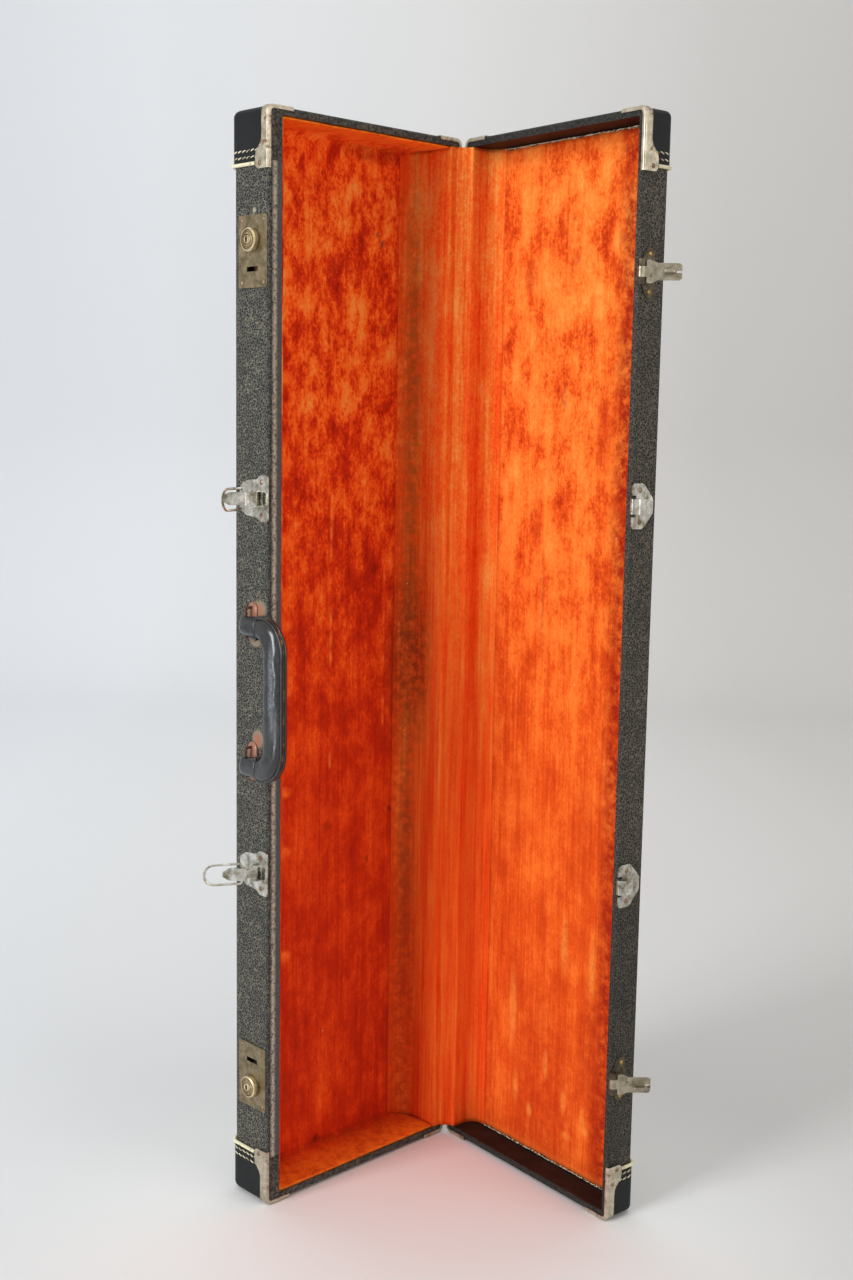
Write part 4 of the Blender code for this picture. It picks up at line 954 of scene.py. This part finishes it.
def cap_outline(half):
    """Evenly spaced points (d, w) and directions on a cap, from the front rim round to the back rim."""
    floor_out = (BASE_FLOOR if half == "base" else LID_FLOOR) + 2.5
    radius = (6.5 if half == "base" else 4.0) + 2.5
    corners = [(12.0, CAP_FACE, 0), (floor_out, CAP_FACE, radius), (floor_out, BACK - 2.5, radius),
               (12.0, BACK - 2.5, 0)]
    return spread(bend(corners, 8), STITCH_GAP)


def tapered(points, radii, sides, start):
    """A closed tube of changing radius along points, with its faces counted from start."""
    ahead = (points[-1] - points[0]).normalized()
    one = ahead.orthogonal().normalized()
    two = ahead.cross(one)
    verts = [point + (one * cos(a) + two * sin(a)) * radius * MM for point, radius in zip(points, radii)
             for a in [2 * pi * k / sides for k in range(sides)]]
    return verts, tube_faces(len(points), sides, start)


def stitches(half):
    """Two rows of slanted stitches round both caps of a half."""
    points, faces = [], []
    line = cap_outline(half)
    dice = Random(7)
    for from_end in (32.3, 37.2):
        for height, lean in ((from_end, -1), (LENGTH - from_end, 1)):
            for a, b in zip(line, line[1:]):
                along = (b - a).normalized()
                outward = Vector((along.y, -along.x))
                if outward.dot((a + b) / 2 - Vector((20, 100))) < 0:
                    outward = -outward
                middle = (a + b) / 2
                spots = []
                for share in (-1, -0.6, 0, 0.6, 1):
                    here = middle + along * share * STITCH_LONG / 2 + outward * 0.35 * (1 - share * share * 1.5)
                    tilt = share * 0.75 + dice.uniform(-0.08, 0.08)
                    spots.append(place(half, here.x, here.y, height - lean * tilt))
                verts, more = tapered(spots, [STITCH_THICK * k for k in (0.5, 0.9, 1.0, 0.9, 0.5)], 8, len(points))
                points += verts
                faces += more
    return mesh_piece(f"{half}_cap_stitches", points, faces)


thread = grimed("waxed cream thread", 0.6, 5, 3.0, 0.5, [(0.34, "8a7a58"), (0.48, "e0d6b4"), (0.75, "f2ecd4")])
for half in ("base", "lid"):
    seam = stitches(half)
    wear(seam, thread)
    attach(seam, half)
    print(half, "stitches", len(seam.data.polygons), "faces")

# %% [markdown]
# ## Nails and screws
# The fittings are held with small domed nails, one in each clamp's ear, two in each latch, catch
# and hasp plate, and four in each lock plate. The hinges behind are screwed. A head is a turned
# profile with a closed underside, pressed slightly into its plate.

# %% Nail heads

def heads(name, half, spots, radius, high, slotted):
    """Domed heads as one mesh, at (d, w, z, side), where side is 1 for the front and -1 for the back."""
    profile = [(0.15, 1.0), (0.45, 0.9), (0.75, 0.62), (0.95, 0.2), (1.0, 0.0), (0.9, -0.25), (0.1, -0.3)]
    sides = 18
    angles = [2 * pi * k / sides for k in range(sides)]
    points, faces = [], []
    for d, w, z, side in spots:
        faces += tube_faces(len(profile), sides, len(points))
        inward = place(half, d, w, z) - place(half, d, w + side, z)
        for ring, (share, level) in enumerate(profile):
            for a in angles:
                point = place(half, d + radius * share * cos(a), w + side * high * level, z + radius * share * sin(a))
                in_slot = slotted and ring < 2 and abs(sin(a)) < 0.35
                points.append(point + inward * 0.4 if in_slot else point)
    return closed_piece(name, points, faces)


def rows_of(depths, w, side, heights, steps=(0,)):
    """Spots for heads at every height, depth and step up or down."""
    return [(d, w, z + step, side) for z in heights for d in depths for step in steps]


PLATE_FACE = FACE + 1.2
CLAMPS = (42.6, LENGTH - 42.6)
HINGES = (200, 670)
LOCKS = (106.3, LENGTH - 106.3)
LATCHES = (279.8, 577.4)
HASPS = (119.4, LENGTH - 119.4)
ears = rows_of([10.0], FRONT + 3.4, 1, CLAMPS) + rows_of([10.0], BACK - 3.4, -1, CLAMPS)
screws = rows_of([14.0], 2.1, -1, HINGES, (-17, 0, 17))
groups = []
for half in ("base", "lid"):
    groups.append((f"{half}_clamp_nails", half, ears, 1.9, 0.7, nail_steel, "clamp_nickel"))
    groups.append((f"{half}_hinge_screws", half, screws, 2.6, 0.5, rusty_steel, "plain_steel"))
groups += [
    ("lock_plate_nails", "base", rows_of([6.6, 33.4], PLATE_FACE, 1, LOCKS, (-23.3, 23.3)), 1.7, 0.5,
     nail_steel, "tarnished_nickel"),
    ("latch_plate_nails", "base", rows_of([8.7], PLATE_FACE + 0.1, 1, LATCHES, (-12.6, 12.6)), 2.1, 0.5,
     nail_steel, "bright_nickel"),
    ("catch_plate_nails", "lid", rows_of([9.8], PLATE_FACE, 1, LATCHES, (-12.2, 12.2)), 2.0, 0.5,
     nail_steel, "bright_nickel"),
    ("hasp_plate_nails", "lid", rows_of([11.4], PLATE_FACE, 1, HASPS, (-13.9, 13.9)), 1.9, 0.8,
     brass, "hasp_nickel")]
for name, body, spots, radius, high, finish, slot in groups:
    made = heads(name, body, spots, radius, high, name.endswith("screws"))
    wear(made, finish)
    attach(made, body)
print(len(groups), "groups of nails and screws")

# %% [markdown]
# ## Frayed edge
# The lid's velvet was cut with scissors and never turned in, so its pale backing threads stick
# out along both ends. They are short thin tubes with a seeded scatter.

# %% Frayed threads

def frayed_edge():
    """Loose backing threads along both ends of the lid's velvet."""
    dice = Random(21)
    points, faces = [], []
    for upper in (False, True):
        for k in range(190):
            w = 26 + 171 * (k + dice.random()) / 190
            z = LENGTH - 8.9 if upper else 8.9
            lean = dice.uniform(-2.6, 2.6)
            back = dice.uniform(-1.3, 0.5) * (1 if upper else -1)
            rise = dice.uniform(0.1, 0.8)
            spots = [place("lid", 24.3 - rise * sin(pi * share), w + lean * share, z + back * share)
                     for share in (0.0, 0.33, 0.66, 1.0)]
            verts, more = tapered(spots, (0.28, 0.32, 0.3, 0.18), 5, len(points))
            points += verts
            faces += more
    return mesh_piece("lid_frayed_threads", points, faces)


fray = frayed_edge()
wear(fray, thread)
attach(fray, "lid")
print("frayed threads", len(fray.data.polygons), "faces")

# %% [markdown]
# ## Stage and light
# A pale paper floor that rises into a far backdrop, a tall soft key light from the front left, a weaker
# and warmer fill from the right, and a third lamp that lights the backdrop.

# %% Stage
ASIDE = Vector((0.698, 0.716, 0))


def studio_paper():
    """Matte paper with painted shade and light: a little darker and warmer towards the right of the picture, darker
    higher up, and paler round the case.
    """
    made, tree, shader, where = material("pale studio paper", 0.9, Specular_IOR_Level=0.1)
    # painted shade: darker and warmer towards the right, away from the key light
    along = add(tree, "ShaderNodeVectorMath", {0: where, 1: ASIDE}, operation="DOT_PRODUCT").outputs["Value"]
    share = add(tree, "ShaderNodeMapRange", {"Value": along, "From Min": -0.9, "From Max": 0.9})
    shade = add(tree, "ShaderNodeValToRGB", {"Fac": share}, [(0.1, "e3e6e9"), (0.5, "dcdcdb"), (0.9, "cfcdca")])
    # painted shade: the backdrop darkens higher up
    high = add(tree, "ShaderNodeSeparateXYZ", {0: where}).outputs["Z"]
    up = add(tree, "ShaderNodeMapRange", {"Value": high, "From Min": 0.5, "From Max": 2.4, "To Max": 0.26})
    shade = add(tree, "ShaderNodeMixRGB", {"Fac": up, "Color1": shade, "Color2": "8f8f90"})
    # painted light: the paper is paler round the case, against the case's own shade
    reach = add(tree, "ShaderNodeVectorMath", {0: where, 1: (0.05, -0.05, 0.0)}, operation="SUBTRACT")
    reach = add(tree, "ShaderNodeVectorMath", {0: reach}, operation="LENGTH").outputs["Value"]
    near = add(tree, "ShaderNodeMapRange", {"Value": reach, "From Min": 0.42, "From Max": 0.12, "To Max": 0.8},
               interpolation_type="SMOOTHSTEP")
    shade = add(tree, "ShaderNodeMixRGB", {"Fac": near, "Color1": shade, "Color2": "f4f4f2"})
    feed(tree, shader, Base_Color=shade)
    return made


def sweep():
    """Floor and backdrop in one bent sheet, far enough behind that the case can be seen from its back too."""
    behind = Vector((-0.716, 0.698, 0)).normalized()
    wall, bend_radius, wide = 2.8, 0.6, 4.0
    profile = [(-3.0, 0.0), (2.0, 0.0)]
    profile += [(wall - bend_radius + bend_radius * sin(a), bend_radius - bend_radius * cos(a))
                for a in [radians(6 * k) for k in range(16)]]
    profile += [(wall, 4.0)]
    points = [behind * far + ASIDE * across + Vector((0, 0, high - 0.0005))
              for across in (-wide, wide) for far, high in profile]
    made = mesh_piece("studio_sweep", points, grid_faces(2, len(profile)))
    made.data.flip_normals()
    return made


floor = sweep()
wear(floor, studio_paper())
print("stage set")

# %% Lights

def area(name, where, towards, size, watts, shade="ffffff"):
    """A soft light, wide and tall in metres, that faces a point."""
    lamp = bpy.data.lights.new(name, "AREA")
    lamp.shape = "RECTANGLE"
    lamp.size, lamp.size_y = size
    lamp.energy = watts
    lamp.color = colour(shade)[:3]
    made = bpy.data.objects.new(name, lamp)
    bpy.context.scene.collection.objects.link(made)
    made.location = where
    made.visible_camera = False
    made.rotation_mode = "QUATERNION"
    made.rotation_quaternion = (Vector(where) - Vector(towards)).to_track_quat("Z", "Y")


area("key", (-0.2, -2.4, 1.26), (0, 0, 0.7), (0.8, 2.34), 54, "fbfdff")
area("fill", (2.3, 0.35, 1.0), (0, 0, 0.5), (1.8, 1.6), 17, "fff6ec")
area("backdrop light", (-0.7, 0.65, 2.6), (-2.0, 1.95, 0.7), (3.0, 0.8), 34)
world = bpy.data.worlds.new("studio")
world.use_nodes = True
sky = world.node_tree
way = add(sky, "ShaderNodeTexCoord").outputs["Generated"]
up_way = add(sky, "ShaderNodeSeparateXYZ", {0: way}).outputs["Z"]
studio = add(sky, "ShaderNodeValToRGB", {"Fac": up_way}, [(0.0, "8e9094"), (0.3, "b0b2b5"), (0.9, "ffffff")])
feed(sky, sky.nodes["Background"], Color=studio)
sky.nodes["Background"].inputs["Strength"].default_value = 0.58
rays = add(sky, "ShaderNodeLightPath").outputs
seen = add(sky, "ShaderNodeMath", {0: rays["Is Camera Ray"], 1: rays["Is Glossy Ray"]}, operation="MAXIMUM")
seen = add(sky, "ShaderNodeMath", {0: seen, 1: rays["Is Transmission Ray"]}, operation="MAXIMUM")
pale = add(sky, "ShaderNodeBackground", {"Color": "d6d6d6"})
both = add(sky, "ShaderNodeMixShader", {0: seen, 1: sky.nodes["Background"], 2: pale})
feed(sky, sky.nodes["World Output"], Surface=both)
bpy.context.scene.world = world
bpy.context.scene.view_settings.view_transform = "Standard"
print("lights set")
